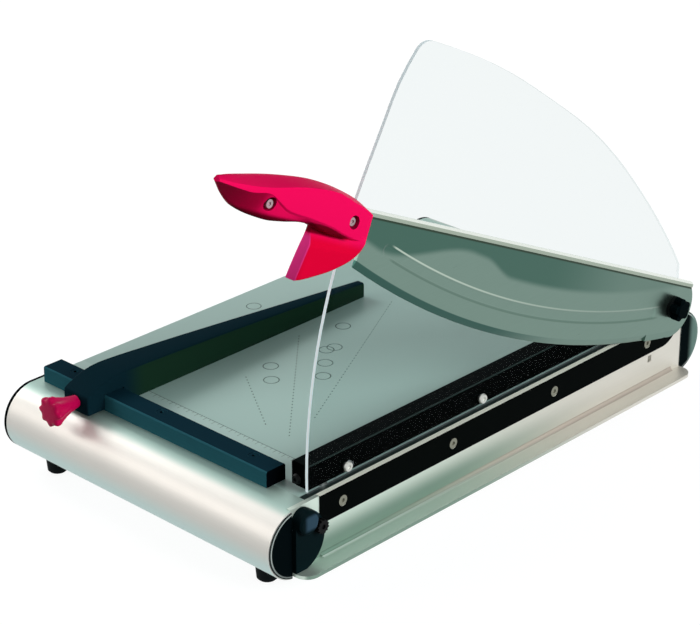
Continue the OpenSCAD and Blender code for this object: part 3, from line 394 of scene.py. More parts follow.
# Moulded like the other caps: black with a fine grain.
caps = surface("grained black plastic cap", "#050e11", "#030a0c", 0.35, EVEN, 0.02, Roughness=0.4, IOR=1.03)
tree = caps.node_tree
# Painted highlight on the bevel.
tint(caps, band(tree, toward(tree, OUTWARD), 0.25, 0.93, 0.05), "#a9b8b5")
from_middle = combine(tree, "ABSOLUTE", along(tree, (0, 0, 0), BACKWARD), 0.0)
from_axis = length_of(tree, combine(tree, "SUBTRACT", from_middle, -profile_low[1] - NOSE_R),
                      along(tree, (0, 0, profile_low[2] + NOSE_R), UP))
# Painted highlight: a thin bright rim inside the outline, dimmer lower down.
rim = band(tree, from_axis, NOSE_R - RIM_IN, NOSE_R - RIM_IN + RIM_WIDE, RIM_SOFT)
rim_light = fade(tree, along(tree, (0, 0, 0), UP), 18, 45, 0.35, 0.9)
tint(caps, overlap(tree, rim, facing(tree, OUTWARD), rim_light), "#b9c6c2")
rear_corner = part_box("cap_rear_right")[1]
# Painted reflection: the rear end turns greyer.
tint(caps, fade(tree, along(tree, rear_corner, BACKWARD), -15, -6, 0.0, 0.9), "#728e87")

# Moulded buffer: a bluer black with a little more shine.
buffer_black = surface("black plastic buffer", "#0a1b1e", "#071518", 0.35, EVEN, 0.02,
                       Roughness=0.4, IOR=1.05)
tree = buffer_black.node_tree
stop_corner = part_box("lever_stop")[1]
near_top = strip(tree, along(tree, stop_corner, UP), -14, -6, 4)
near_rear = strip(tree, along(tree, stop_corner, BACKWARD), -22, -10, 5)
# Painted highlight near the buffer's top.
tint(buffer_black, overlap(tree, facing(tree, OUTWARD), near_top, near_rear, 0.8), "#3a5466")
print("nose radius", round(NOSE_R / MM, 2), "mm")

# %% [markdown]
# The side wall is a separate sheet of aluminium. Painted reflection and shade change its tone: it grows a
# little greener towards its front end and darker towards its foot, the bend into the foot flange is painted
# as a duller line, and the top of the flange is painted paler at the front.

# %% Zones on the side wall
# Satin sheet: pale and slightly warm, with fine lines along its length.
wall = surface("satin anodised sheet", "#dcd9d0", "#d1cfc6", 0.6, LONG_Y, 0.004,
               Metallic=0.65, Roughness=0.45)
tree = wall.node_tree
wall_low, wall_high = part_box("side_wall")
from_rear, from_foot = along(tree, wall_high, BACKWARD), along(tree, wall_low, UP)
to_front = fade(tree, from_rear, -450, -140, 1.0, 0.0)
past_middle = fade(tree, from_rear, -340, -80, 1.0, 0.0)
to_foot = fade(tree, from_foot, 12, 36, 0.95, 0.0)
# Painted reflection: greener towards the front.
tint(wall, to_front, "#d2e2d7")
# Painted shade towards the foot.
tint(wall, overlap(tree, past_middle, to_foot, facing(tree, OUTWARD, 0.5, 0.8)), "#728d7f")
# Painted shade: the bend into the flange is duller.
bend = band(tree, toward(tree, UP), 0.12, 0.9, 0.08)
tint(wall, bend, "#a89f94")
tint(wall, overlap(tree, bend, to_front), "#5a7567")
# Painted light: the top of the flange is paler at the front.
flange_top = overlap(tree, facing(tree, UP), fade(tree, from_foot, 10, 20, 1.0, 0.0))
tint(wall, overlap(tree, flange_top, to_front, 0.8), "#c0d2c8")
print("wall from", [round(v, 3) for v in wall_low], "to", [round(v, 3) for v in wall_high])

# %% [markdown]
# The blade's bands follow its edge, so the material measures the distance from the edge's arc. Most are
# painted light and shade: a dark bevel that fades towards the pivot, a bright highlight on the pressed
# groove's upper shoulder, a shaded line along its lower side, and a shadow line under the spine. Higher
# up, a darker zone starts at a border that steps along the blade.

# %% Bands on the blade
# radius of the edge's arc, and place and depth of its lowest point from the pivot, in mm
EDGE_R, BELLY_S, BELLY_N = 880.0, 202.0, 52.0
BEVEL_WIDE, SPINE_FOOT = 5.5, 20.5
DARK_ZONE_AT, DARK_ZONE_SOFT = 47 * MM, 3 * MM
edge_centre = on_blade(0.0, BELLY_S, EDGE_R - BELLY_N)
blade_paint = paints["blade_steel"]
tree = blade_paint.node_tree
to_centre = length_of(tree, along(tree, edge_centre, BACKWARD), along(tree, edge_centre, UP))
from_edge = combine(tree, "SUBTRACT", EDGE_R * MM, to_centre)
from_pivot = along(tree, PIVOT, BLADE_FORWARD)

# A darker zone above a border that steps along the blade, stronger towards the front.
border_step = fade(tree, from_pivot, 245, 285, 0.0, 9 * MM)
border_drop = fade(tree, from_pivot, 300, 420, 0.0, -34 * MM)
above_border = combine(tree, "SUBTRACT", from_edge, DARK_ZONE_AT, border_step, border_drop)
dark_zone = between(tree, above_border, -DARK_ZONE_SOFT, DARK_ZONE_SOFT)
tint(blade_paint, overlap(tree, dark_zone, fade(tree, from_pivot, 60, 200, 0.35, 1.0)), "#43655a")
in_groove = strip(tree, from_pivot, 25, 396, 8)
# Painted highlight on the groove's upper shoulder.
shoulder = strip(tree, from_edge, 30.0, 30.8, 0.5)
tint(blade_paint, overlap(tree, shoulder, in_groove, fade(tree, from_pivot, 60, 380, 0.3, 1.0)), "#b4c4b7")
# Painted shade along the groove's lower side.
tint(blade_paint, overlap(tree, strip(tree, from_edge, 19.8, 21.0, 0.7), in_groove), "#5f786d")
# Painted shade on the bevel, fading towards the pivot.
bevel = fade(tree, from_edge, BEVEL_WIDE - 0.3, BEVEL_WIDE + 0.3, 1.0, 0.0)
tint(blade_paint, overlap(tree, bevel, fade(tree, from_pivot, 140, 260, 0.1, 1.0)), "#34574f")
# Painted shadow under the spine.
spine_shadow = fade(tree, along(tree, PIVOT, BLADE_UP), SPINE_FOOT - 2.2, SPINE_FOOT - 1.2)
tint(blade_paint, spine_shadow, "#2f4034")
print("edge centre", [round(v, 4) for v in edge_centre])

# %% [markdown]
# The handle's red is painted deeper where its own forms shade it: on the lobe below the blade's line,
# below the panel that overhangs the grip, along the foot of the grip, under the tip and in the two screw
# recesses. Its crowned top is painted duller, as shade, and the front face of the finger lobe pinker, as
# a painted reflection. The soft lamps give too little of this, so the material adds to it.

# %% Shades on the handle
SCREW_PLACES = [(477.5, 15.6), (568.5, 15.6)]
RECESS_R, RECESS_FLOOR, RECESS_SOFT = 5.2, 18.9, 0.2
handle_red = paints["red_plastic"]
tree = handle_red.node_tree
from_pivot, above = along(tree, PIVOT, BLADE_FORWARD), along(tree, PIVOT, BLADE_UP)
from_cut = along(tree, PIVOT, OUTWARD)
# Painted shade on the lobe below the blade's line.
tint(handle_red, fade(tree, above, 3, -5), "#e80438")
# Painted shade on the crowned top.
tint(handle_red, overlap(tree, facing(tree, UP, 0.6, 0.9), 0.6), "#c60648")
# Painted reflection on the front face of the lobe.
tint(handle_red, overlap(tree, facing(tree, BLADE_FORWARD, 0.4, 0.8), fade(tree, above, 2, -3)), "#ff3c98")
under_tip = overlap(tree, facing(tree, UP, -0.05, -0.45), fade(tree, from_pivot, 540, 580), 0.8)
tint(handle_red, under_tip, "#98042c")
under_panel = overlap(tree, strip(tree, from_pivot, 482, 518, 8), strip(tree, above, 1.5, 8, 2),
                      fade(tree, from_cut, 22.2, 23.2, 0.9, 0.0))
tint(handle_red, under_panel, "#6e0210")
tint(handle_red, overlap(tree, fade(tree, above, 9.5, 6.0), fade(tree, from_pivot, 508, 528)), "#6a021c")
outer_side = fade(tree, from_cut, 14, 15, 0.0, 0.85)
for place in SCREW_PLACES:
    screw = on_blade(0.0, *place)
    off_axis = length_of(tree, along(tree, screw, BLADE_FORWARD), along(tree, screw, BLADE_UP))
    in_recess = fade(tree, off_axis, RECESS_R + RECESS_SOFT, RECESS_R - RECESS_SOFT)
    tint(handle_red, overlap(tree, in_recess, outer_side), "#4a0214")
print("screw recesses", len(SCREW_PLACES))


# %% [markdown]
# ## Small tools for meshes
# Curves drive the moulded shapes, so one function passes a smooth curve through a few points. A loft
# joins rings of points, all with the same count, and closes both ends. A rounded corner takes less than
# half of each side, so that two corners never meet.

# %% Curves, outlines and lofts
SIDE_SHARE, LEAST_TANGENT = 0.48, 0.2


def through(points):
    """A smooth function that passes through (position, value) points."""
    xs = [p[0] for p in points]
    ys = [p[1] for p in points]
    last = len(xs) - 1
    slopes = []
    for i in range(len(xs)):
        a, b = max(i - 1, 0), min(i + 1, last)
        slopes.append((ys[b] - ys[a]) / (xs[b] - xs[a]))

    def value(x):
        i = 0
        while i < last - 1 and x > xs[i + 1]:
            i += 1
        width = xs[i + 1] - xs[i]
        t = min(max((x - xs[i]) / width, 0.0), 1.0)
        rise = ys[i + 1] - ys[i]
        lead = slopes[i] * width - rise
        trail = rise - slopes[i + 1] * width
        return ys[i] + t * rise + t * (1 - t) * ((1 - t) * lead + t * trail)

    return value


def rounded(corners, steps=4):
    """A closed outline from (x, y, radius) corners, each replaced by a short curve of its radius."""
    outline = []
    for i, (x, y, radius) in enumerate(corners):
        here = Vector((x, y))
        before = Vector(corners[i - 1][:2]) - here
        after = Vector(corners[(i + 1) % len(corners)][:2]) - here
        half_angle = before.angle(after, math.pi) / 2
        wanted = radius / max(math.tan(half_angle), LEAST_TANGENT)
        reach = min(wanted, before.length * SIDE_SHARE, after.length * SIDE_SHARE)
        start = here + before.normalized() * reach
        end = here + after.normalized() * reach
        for k in range(steps + 1):
            t = k / steps
            outline.append(start * (1 - t) ** 2 + here * (2 * t * (1 - t)) + end * t * t)
    return outline


def loft(rings):
    """Vertices and faces of a closed skin over rings of points."""
    count = len(rings[0])
    verts = [p for ring in rings for p in ring]
    faces = []
    for r in range(len(rings) - 1):
        for i in range(count):
            j = (i + 1) % count
            faces.append((r * count + i, r * count + j, (r + 1) * count + j, (r + 1) * count + i))
    faces.append(tuple(range(count))[::-1])
    faces.append(tuple(range((len(rings) - 1) * count, len(rings) * count)))
    return verts, faces


# %% [markdown]
# A finished piece is linked at the origin with its place in the mesh, because the export puts every
# object there. It rides on the body of the CAD node that it stands for, and that node is hidden.

# %% Finished pieces
def body_name(node):
    """The moving body that a CAD node belongs to."""
    return next(body for body, names in frame["record"]["behaviour"]["bodies"].items() if node in names)


def slot_name(node):
    """The material slot of a CAD node."""
    return next(s["material_slot"] for s in frame["record"]["subparts"] if s["node"] == node)


def shade(mesh, sharp_deg):
    """Smooth shading, with a crease wherever two faces meet at more than sharp_deg."""
    for polygon in mesh.polygons:
        polygon.use_smooth = True
    mesh.set_sharp_from_angle(angle=math.radians(sharp_deg))


def finish_piece(name, mesh, material, stands_for, sharp_deg=None):
    """Links a mesh as the piece that stands for CAD nodes; one without normals of its own is shaded."""
    if sharp_deg:
        shade(mesh, sharp_deg)
    mesh.materials.clear()
    mesh.materials.append(material)
    piece = bpy.data.objects.new(name, mesh)
    bpy.context.scene.collection.objects.link(piece)
    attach(piece, body_name(stands_for[0]))
    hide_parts(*stands_for)
    return piece


def mesh_of(name, verts, faces):
    """A mesh from points and faces."""
    mesh = bpy.data.meshes.new(name)
    mesh.from_pydata([tuple(v) for v in verts], [], faces)
    mesh.update()
    return mesh


# %% [markdown]
# ## Pieces that keep the CAD's shape
# A machined or moulded edge is never perfectly sharp: the small bevel that catches the light is what
# makes it look real. Each of these pieces is a welded copy of its CAD solid with bevelled edges,
# and a hair smaller, so that two pieces that touch in the CAD don't share one plane in the render. Its
# normals are weighted by area, which keeps large flats flat and leaves the turn to the bevels. A Bevel
# modifier could round the edges too, but in a bmesh the points can also be moved before and after it.

# %% Softening a CAD piece
SEAT_GAP, MERGE_MM = 0.03, 0.05
SMOOTH_DEG, BEVEL_DEG, FLAT_DEG = 24.0, 32.0, 0.5
BEVEL_PROFILE = 0.6


def weigh_normals(mesh, sharp_deg):
    """A copy of a mesh whose normals follow its larger faces."""
    shade(mesh, sharp_deg)
    thing = bpy.data.objects.new("weighing", mesh)
    bpy.context.scene.collection.objects.link(thing)
    thing.modifiers.new("weigh", "WEIGHTED_NORMAL").keep_sharp = True
    made = bpy.data.meshes.new_from_object(thing.evaluated_get(bpy.context.evaluated_depsgraph_get()))
    bpy.data.objects.remove(thing)
    return made


def soften(node, edge_mm, paint=None, reshape=None, steps=2):
    """A bevelled copy of a CAD piece; reshape may first move its points."""
    shape = bmesh.new()
    shape.from_mesh(nodes[node].data)
    bmesh.ops.remove_doubles(shape, verts=shape.verts, dist=MERGE_MM * MM)
    bmesh.ops.dissolve_limit(shape, angle_limit=math.radians(FLAT_DEG), verts=shape.verts, edges=shape.edges)
    if reshape:
        reshape(shape)
    closed = [e for e in shape.edges if len(e.link_faces) == 2]
    edges = [e for e in closed if e.calc_face_angle(0.0) > math.radians(BEVEL_DEG)]
    bmesh.ops.bevel(shape, geom=edges, offset=edge_mm * MM, segments=steps, profile=BEVEL_PROFILE,
                    affect="EDGES", clamp_overlap=True)
    for vert in shape.verts:
        vert.co -= vert.normal * SEAT_GAP * MM
    mesh = bpy.data.meshes.new(node + "_softened")
    shape.to_mesh(mesh)
    shape.free()
    if "custom_normal" in mesh.attributes:
        mesh.attributes.remove(mesh.attributes["custom_normal"])
    mesh = weigh_normals(mesh, SMOOTH_DEG)
    return finish_piece(node + "_softened", mesh, paint or paints[slot_name(node)], [node])


# %% [markdown]
# Most pieces need only the width of their bevel. Those with a finish of their own are named one by one.
# The CAD pieces get the finish of their slot as well, because a few of them stay as they are.

# %% Softened copies
EDGE_MM = {
    "table_plate": 0.3, "lower_knife": 0.15, "stop_rail": 0.5, "clamp_bar": 1.0, "clamp_pad": 0.3,
    "lever_stop_screw": 0.3, "star_nut": 1.0, "blade_spine": 0.5, "guard_screws": 0.25,
    "cap_front_left": 0.5, "cap_rear_left": 0.5, "clamp_end_screw": 0.25, "pivot_block": 0.6,
    "pivot_block_screws": 0.3, "pivot_bolt": 0.4, "foot_front_left": 0.5, "foot_front_right": 0.5,
    "foot_rear_left": 0.5, "foot_rear_right": 0.5, "left_beam": 0.4, "knife_beam": 0.5, "cross_ribs": 0.4,
}
for node, edge in EDGE_MM.items():
    soften(node, edge)
soften("side_wall", 0.6, wall)
soften("knife_screws", 0.25, dull_zinc)
soften("stop_rail_screws", 0.25, paints["rail_aluminium"])
soften("lever_stop", 1.0, buffer_black)
for node in ("cap_front_right", "cap_rear_right"):
    soften(node, 0.9, caps, steps=3)
# Painted shade: the spring washer and the bush take black oxide, darker than their own steel and bronze.
for node in ("spring_washer", "blade_bush"):
    soften(node, 0.2, paints["dark_steel"])
for node, obj in nodes.items():
    if slot_name(node) in paints:
        obj.data.materials.clear()
        obj.data.materials.append(paints[slot_name(node)])
print("softened with their slot's finish", len(EDGE_MM))

# %% [markdown]
# The noses of the two profiles are long arcs made of flat strips. Their normals are known exactly, so
# they are set one by one: square to the axis on the arc, and square to each face elsewhere. More strips
# would smooth the arc as well, at the price of more faces.

# %% Round-nosed profiles
ARC_NEAR, ARC_COSINE = 0.2 * MM, 0.99


def round_nose(piece, node):
    """Sets the exact normals of a round-nosed profile."""
    low, high = (Vector(corner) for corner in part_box(node))
    radius = (high.z - low.z) / 2
    axis = Vector((0, low.y + radius if low.y < 0 else high.y - radius, low.z + radius))
    normals = []
    for polygon in piece.data.polygons:
        for corner in polygon.loop_indices:
            spoke = piece.data.vertices[piece.data.loops[corner].vertex_index].co - axis
            spoke.x = 0.0
            follows = spoke.normalized().dot(polygon.normal) > ARC_COSINE
            on_arc = abs(spoke.length - radius) < ARC_NEAR and follows
            normals.append(spoke.normalized() if on_arc else polygon.normal.copy())
    piece.data.normals_split_custom_set(normals)


noses = ("front_profile", "rear_profile")
for node in noses:
    round_nose(soften(node, 0.4), node)
print("round noses", len(noses))

# %% [markdown]
# The lift springs stand between the base and the clamp bar, so they grow shorter as the bar comes down.
# They are plain sleeves, because wound wire would stay hidden inside the bar.

# %% Lift springs
springs = soften("lift_springs", 0.1)
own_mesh(springs)

# %% [markdown]
# The blade's groove is pressed, not milled: its floor is drawn in towards its middle line, which turns
# the upright sides of the CAD groove into slopes. Moving points that are already there keeps the blade
# one closed solid.

# %% Blade with a pressed groove
GROOVE_MIDDLE, GROOVE_HALF, GROOVE_SLOPE = 25.25, 5.25, 2.2
GROOVE_ENDS = (30.0, 407.0)
BLADE_OUT, GROOVE_DEEP, FLOOR_NEAR = 3.4, 0.6, 0.05


def blade_place(point):
    """Where a point lies along and square to the blade, in mm from the pivot."""
    y, z = point.y - PIVOT_Y, point.z - PIVOT_Z
    forward = (z * math.sin(BLADE_RISE) - y * math.cos(BLADE_RISE)) / MM
    up = (y * math.sin(BLADE_RISE) + z * math.cos(BLADE_RISE)) / MM
    return Vector((forward, up))


def groove_middle(forward):
    """The height of the groove's middle line."""
    radius = EDGE_R - GROOVE_MIDDLE
    return EDGE_R - BELLY_N - math.sqrt(radius ** 2 - (forward - BELLY_S) ** 2)


def slope_groove(shape):
    """Draws the floor of the groove in towards its middle line."""
    keep = 1 - GROOVE_SLOPE / GROOVE_HALF
    centre = Vector((BELLY_S, EDGE_R - BELLY_N))
    moved = 0
    for vert in shape.verts:
        out = (vert.co.x - CUT_X) / MM
        if abs(out - (BLADE_OUT - GROOVE_DEEP)) > FLOOR_NEAR:
            continue
        p = blade_place(vert.co)
        near = min(max(p.x, GROOVE_ENDS[0]), GROOVE_ENDS[1])
        if near == p.x:
            middle = centre + (p - centre).normalized() * (EDGE_R - GROOVE_MIDDLE)
        else:
            middle = Vector((near, groove_middle(near)))
        q = middle + (p - middle) * keep
        vert.co = on_blade(out, q.x, q.y)
        moved += 1
    print("groove points moved", moved)


soften("blade", 0.12, reshape=slope_groove)

# %% [markdown]
# ## The handle
# The handle is lofted along the blade. Eight curves drive it: the ridge of the crowned top, the crease
# where the top meets the outer panel, the lower edge of that panel, the underside, both sides, how far
# the underside is tucked in, and the step by which the panel stands out over the grip below it. It
# could be sculpted, but curves through a few points stay smooth and are easy to change.

# %% Handle body
HANDLE_FROM, HANDLE_TO, STATIONS = 457.0, 620.5, 44
FULL_WIDTH = 26.0
ridge = through([(450, 23), (462, 29.5), (486, 34.6), (520, 37.4), (552, 35.6), (592, 31), (612, 28.6),
                 (622, 26.6)])
crease = through([(450, 21), (462, 25), (477, 28.4), (502, 33.6), (535, 32.6), (575, 26.6), (604, 24.6),
                  (622, 24.6)])
panel_low = through([(450, 3), (465, 3), (481, 5.2), (503, 9.5), (527, 12.1), (549, 14), (560, 18),
                     (572, 22.6), (592, 21), (622, 23)])
underside = through([(450, 4), (464, 0), (480, 0.5), (505, 4), (524, 6.8), (550, 4.2), (566, 3.1),
                     (588, 5.8), (606, 13.5), (622, 22.5)])
outside = through([(450, 19), (460, 22.5), (480, 23.7), (540, 23.8), (590, 23.4), (612, 21.5), (622, 18)])
inside = through([(450, -2), (480, -2), (560, -2), (585, 0.5), (605, 6), (622, 13)])
tuck = through([(450, 4), (480, 8), (500, 10), (520, 7), (545, 4), (562, 4), (576, 9), (590, 13), (606, 12),
                (622, 3)])
panel_step = through([(450, 0.1), (470, 0.4), (484, 2.4), (496, 5), (508, 4.4), (522, 2), (545, 1.6),
                      (560, 1.2), (572, 0.2), (622, 0.1)])


def handle_section(s):
    """The handle's outline square to the blade, s mm in front of the pivot."""
    top, fold, low, under = ridge(s), crease(s), panel_low(s), underside(s)
    out, back, proud = outside(s), inside(s), panel_step(s)
    # each corner: how far out, how high, radius
    corners = [
        (back, under + 1.5, 3.0),
        (out - tuck(s), under, 5.0),
        (out - proud, max(low - proud, under + 0.8), 0.8),
        (out, max(low, under + 1.0), 0.8),
        (out - 0.6, fold, 1.0),
        (back + 10.0 * (out - back) / FULL_WIDTH, top + 0.6, 9.0),
        (back, max(top - 4.0, under + 2.0), 4.0),
    ]
    return [on_blade(p.x, s, p.y) for p in rounded(corners)]


pitch = (HANDLE_TO - HANDLE_FROM) / (STATIONS - 1)
handle_rings = [handle_section(HANDLE_FROM + pitch * i) for i in range(STATIONS)]
handle_verts, handle_faces = loft(handle_rings)
print("handle rings", len(handle_rings), "points each", len(handle_rings[0]))

# %% [markdown]
# The finger lobe hangs under the rear of the handle. Its outer face starts level with the panel at the
# rear and runs back under it towards the front, so that the panel shades it. Its front face is slanted,
# so the outer outline reaches further forward than the inner one.

# %% Finger lobe
LOBE_INNER, LOBE_THICK, LOBE_EDGE, LOBE_SLANT = 6.4, 12.0, 2.0, 1.0
LOBE_FALL, LOBE_FLUSH, LOBE_SET_BACK = (-9.0, 5.0), (464.0, 490.0), 6.0
LOBE_MIDDLE = Vector((492, -8))
FACE_SHARES = (0.15, 0.3, 0.45, 0.6, 0.75, 0.9)
lobe_outer = through([(455, 23.4), (468, 23.2), (482, 21.0), (500, 18.3), (522, 17.2)])
lobe_rear = [(474, 8), (458.5, 5), (459.5, -3), (467.5, -12.2), (483, -23), (501.5, -31.2), (513, -34.6)]
lobe_front = [(515, -33.4), (513.5, -22), (511.5, -10), (509.5, -2), (508.5, 5), (509, 13)]


def closed_curve(points, steps=5):
    """A smooth closed line through points."""
    line = []
    count = len(points)
    for i in range(count):
        p0, p1, p2, p3 = (Vector(points[(i + k) % count]) for k in (-1, 0, 1, 2))
        for k in range(steps):
            t = k / steps
            line.append(0.5 * (2 * p1 + (p2 - p0) * t
                               + (2 * p0 - 5 * p1 + 4 * p2 - p3) * t * t
                               + (3 * p1 - p0 - 3 * p2 + p3) * t ** 3))
    return line


def lobe_face(place):
    """How far out the lobe's outer face lies: it falls back where the panel hangs over it."""
    rise = min(max((place.y - LOBE_FALL[0]) / (LOBE_FALL[1] - LOBE_FALL[0]), 0.0), 1.0)
    ahead = min(max((place.x - LOBE_FLUSH[0]) / (LOBE_FLUSH[1] - LOBE_FLUSH[0]), 0.0), 1.0)
    return lobe_outer(place.x) - LOBE_SET_BACK * ahead * rise * rise * (3 - 2 * rise)


def lobe_ring(depth, inset, shrink=0.0):
    """The lobe's outline at a depth from 0, its inner face, to 1, its outer face."""
    front = [(s - LOBE_SLANT * (1 - depth), n) for s, n in lobe_front]
    ring = []
    for p in closed_curve(lobe_rear + front):
        q = p + (LOBE_MIDDLE - p).normalized() * inset
        q = q + (LOBE_MIDDLE - q) * shrink
        ring.append(on_blade(LOBE_INNER + depth * (lobe_face(q) - LOBE_INNER), q.x, q.y))
    return ring


def edge_steps(count=5):
    """(depth, inset) pairs that round both edges of the lobe by LOBE_EDGE."""
    share = LOBE_EDGE / LOBE_THICK
    turns = [math.pi / 2 * k / count for k in range(count + 1)]
    near = [(share * (1 - math.cos(t)), LOBE_EDGE * (1 - math.sin(t))) for t in turns]
    return near + [(1 - depth, inset) for depth, inset in reversed(near)]


lobe_rings = [lobe_ring(*edge) for edge in edge_steps()]
lobe_rings += [lobe_ring(1.0, LOBE_EDGE, share) for share in FACE_SHARES]
lobe_verts, lobe_faces = loft(lobe_rings)
print("lobe points", len(lobe_verts))


# %% [markdown]
# Two screws hold the halves of the handle together. Their recesses are cut with Boolean modifiers while
# the handle is still one closed body, because a Boolean needs a closed mesh to tell inside from outside.

# %% Screw recesses
def cylinder_out(s, n, radius, start, end, sides=40):
    """A cylinder square to the blade, from start to end mm out of the cutting plane."""
    turns = [2 * math.pi * k / sides for k in range(sides)]
    circle = [(s + radius * math.cos(t), n + radius * math.sin(t)) for t in turns]
    return loft([[on_blade(out, *p) for p in circle] for out in (start, end)])


def solid(name, verts, faces):
    """A linked object with its faces turned outwards."""
    mesh = mesh_of(name, verts, faces)
    shape = bmesh.new()
    shape.from_mesh(mesh)
    bmesh.ops.recalc_face_normals(shape, faces=shape.faces)
    shape.to_mesh(mesh)
    shape.free()
    thing = bpy.data.objects.new(name, mesh)
    bpy.context.scene.collection.objects.link(thing)
    return thing


def carve(base, tools):
    """The base cut by the tools, as a new mesh; the helper objects are removed."""
    for tool in tools:
        cut = base.modifiers.new(tool.name, "BOOLEAN")
        cut.operation = "DIFFERENCE"
        cut.object = tool
        cut.solver = "MANIFOLD"
    graph = bpy.context.evaluated_depsgraph_get()
    mesh = bpy.data.meshes.new_from_object(base.evaluated_get(graph))
    for thing in [base] + tools:
        bpy.data.objects.remove(thing)
    return mesh


CLEAR_OUT = 30.0
recess_tools = []
for k, place in enumerate(SCREW_PLACES):
    recess_tools.append(solid(f"recess_{k}", *cylinder_out(*place, RECESS_R, RECESS_FLOOR, CLEAR_OUT)))
handle_mesh = carve(solid("handle", handle_verts, handle_faces), recess_tools)
print("handle with recesses", len(handle_mesh.polygons), "faces")

# %% [markdown]
# The handle is split into its two halves at the parting plane, with a hairline left between them. The
# finger lobe belongs to the outer half. The screws are drawn in towards their axes, so that a shadow
# line is left round each head.

# %% Handle halves and their screws
SPLIT, PARTING = 1.9, 0.15
HEAD_SHARE, HANDLE_CREASE = 0.74, 28.0


def half(mesh, out, keep_outer, name, extra=None):
    """One side of a mesh, cut out mm from the cutting plane and closed again, with an extra mesh added."""
    shape = bmesh.new()
    shape.from_mesh(mesh)
    geometry = shape.verts[:] + shape.edges[:] + shape.faces[:]
    cut = bmesh.ops.bisect_plane(shape, geom=geometry, plane_co=(CUT_X + out * MM, 0, 0), plane_no=OUTWARD,
                                 clear_inner=keep_outer, clear_outer=not keep_outer)
    border = [e for e in cut["geom_cut"] if isinstance(e, bmesh.types.BMEdge)]
    bmesh.ops.contextual_create(shape, geom=border)
    if extra:
        shape.from_mesh(extra)
    part = bpy.data.meshes.new(name)
    shape.to_mesh(part)
    shape.free()
    return part


def shrink_heads(shape):
    """Draws the screws in towards their axes."""
    for vert in shape.verts:
        p = blade_place(vert.co)
        axis = min((Vector(place) for place in SCREW_PLACES), key=lambda place: (place - p).length)
        q = axis + (p - axis) * HEAD_SHARE
        vert.co = on_blade((vert.co.x - CUT_X) / MM, q.x, q.y)


soften("handle_screws", 0.25, recess_zinc, reshape=shrink_heads)
lobe = solid("lobe", lobe_verts, lobe_faces)
outer_mesh = half(handle_mesh, SPLIT + PARTING, True, "handle_outer_shell", lobe.data)
inner_mesh = half(handle_mesh, SPLIT - PARTING, False, "handle_inner_shell")
bpy.data.objects.remove(lobe)
finish_piece("handle_outer_shell", outer_mesh, paints["red_plastic"], ["handle_outer"], HANDLE_CREASE)
finish_piece("handle_inner_shell", inner_mesh, paints["red_plastic"], ["handle_inner"], HANDLE_CREASE)
print("handle faces", len(outer_mesh.polygons), len(inner_mesh.polygons))

# %% [markdown]
# ## The side gauge
# The gauge is one moulding: a long wedge that grows lower and narrower towards its far end, with a hump
# over the stop rail and a slope down to the hook in front. It is lofted along Y through rounded
# sections, and the channel for the rail and the hole for the stud are then cut out.

# %% Side gauge sections
gauge_low, gauge_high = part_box("gauge_arm")
rail_low, rail_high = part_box("stop_rail")
GAUGE_RIGHT, HOOK_Y, TIP_Y = gauge_high[0] / MM, gauge_low[1] / MM, gauge_high[1] / MM
HOOK_LIFT, SLIDE_GAP, END_ROUND, END_STEPS = 1.5, 0.3, 1.4, 4
FOOT_ROUND, TOP_ROUND = 0.6, 2.2
# the lifted hook ends 1 mm in front of the rail's rear side, inside the channel
HOOK_END = rail_high[1] / MM - 1.0
GAUGE_STATIONS = (-246, -240, -234, -228, -222, -215.2, -214.8, -208, -195, -165, -135, -105, -70, -40,
                  0, 40)
gauge_left = through([(-252.5, -98.4), (-246, -99), (-214, -98.8), (-165, -95.2), (-105, -90.4), (-40, -85.4),
                      (72, -77)])
gauge_top = through([(-252.5, 90.6), (-240, 95.6), (-228, 99.2), (-212, 100.6), (-165, 99.2), (-105, 96.6),
                     (-40, 93.2), (72, 87.2)])


def gauge_section(y, inset=0.0):
    """The gauge's outline square to Y, drawn in by inset where an end is rounded."""
    floor_z = TABLE_Z / MM + (HOOK_LIFT if y < HOOK_END else SLIDE_GAP)
    left, right, top = gauge_left(y) + inset, GAUGE_RIGHT - inset, gauge_top(y) - inset
    corners = [(left, floor_z, FOOT_ROUND), (right, floor_z, FOOT_ROUND),
               (right, top, TOP_ROUND), (left, top, TOP_ROUND)]
    return [(p.x * MM, y * MM, p.y * MM) for p in rounded(corners)]


quarter = [math.pi / 2 * k / END_STEPS for k in range(END_STEPS + 1)]
ends = [(END_ROUND * (1 - math.sin(t)), END_ROUND * (1 - math.cos(t))) for t in quarter]
gauge_rings = [gauge_section(HOOK_Y + back, inset) for inset, back in ends]
gauge_rings += [gauge_section(y) for y in GAUGE_STATIONS]
gauge_rings += [gauge_section(TIP_Y - back, inset) for inset, back in reversed(ends)]
print("gauge rings", len(gauge_rings))


# %% [markdown]
# The moulding is blue-black. Behind the rail its right side, which paper is laid against, is painted a
# greener black, as a reflection. The channel and the hole are cut as the screw recesses were.

# %% Side gauge with channel and stud hole
def box_between(low, high):
    """A box between two corners."""
    rings = []
    for y in (low[1], high[1]):
        rings.append([(low[0], y, low[2]), (high[0], y, low[2]), (high[0], y, high[2]), (low[0], y, high[2])])
    return loft(rings)


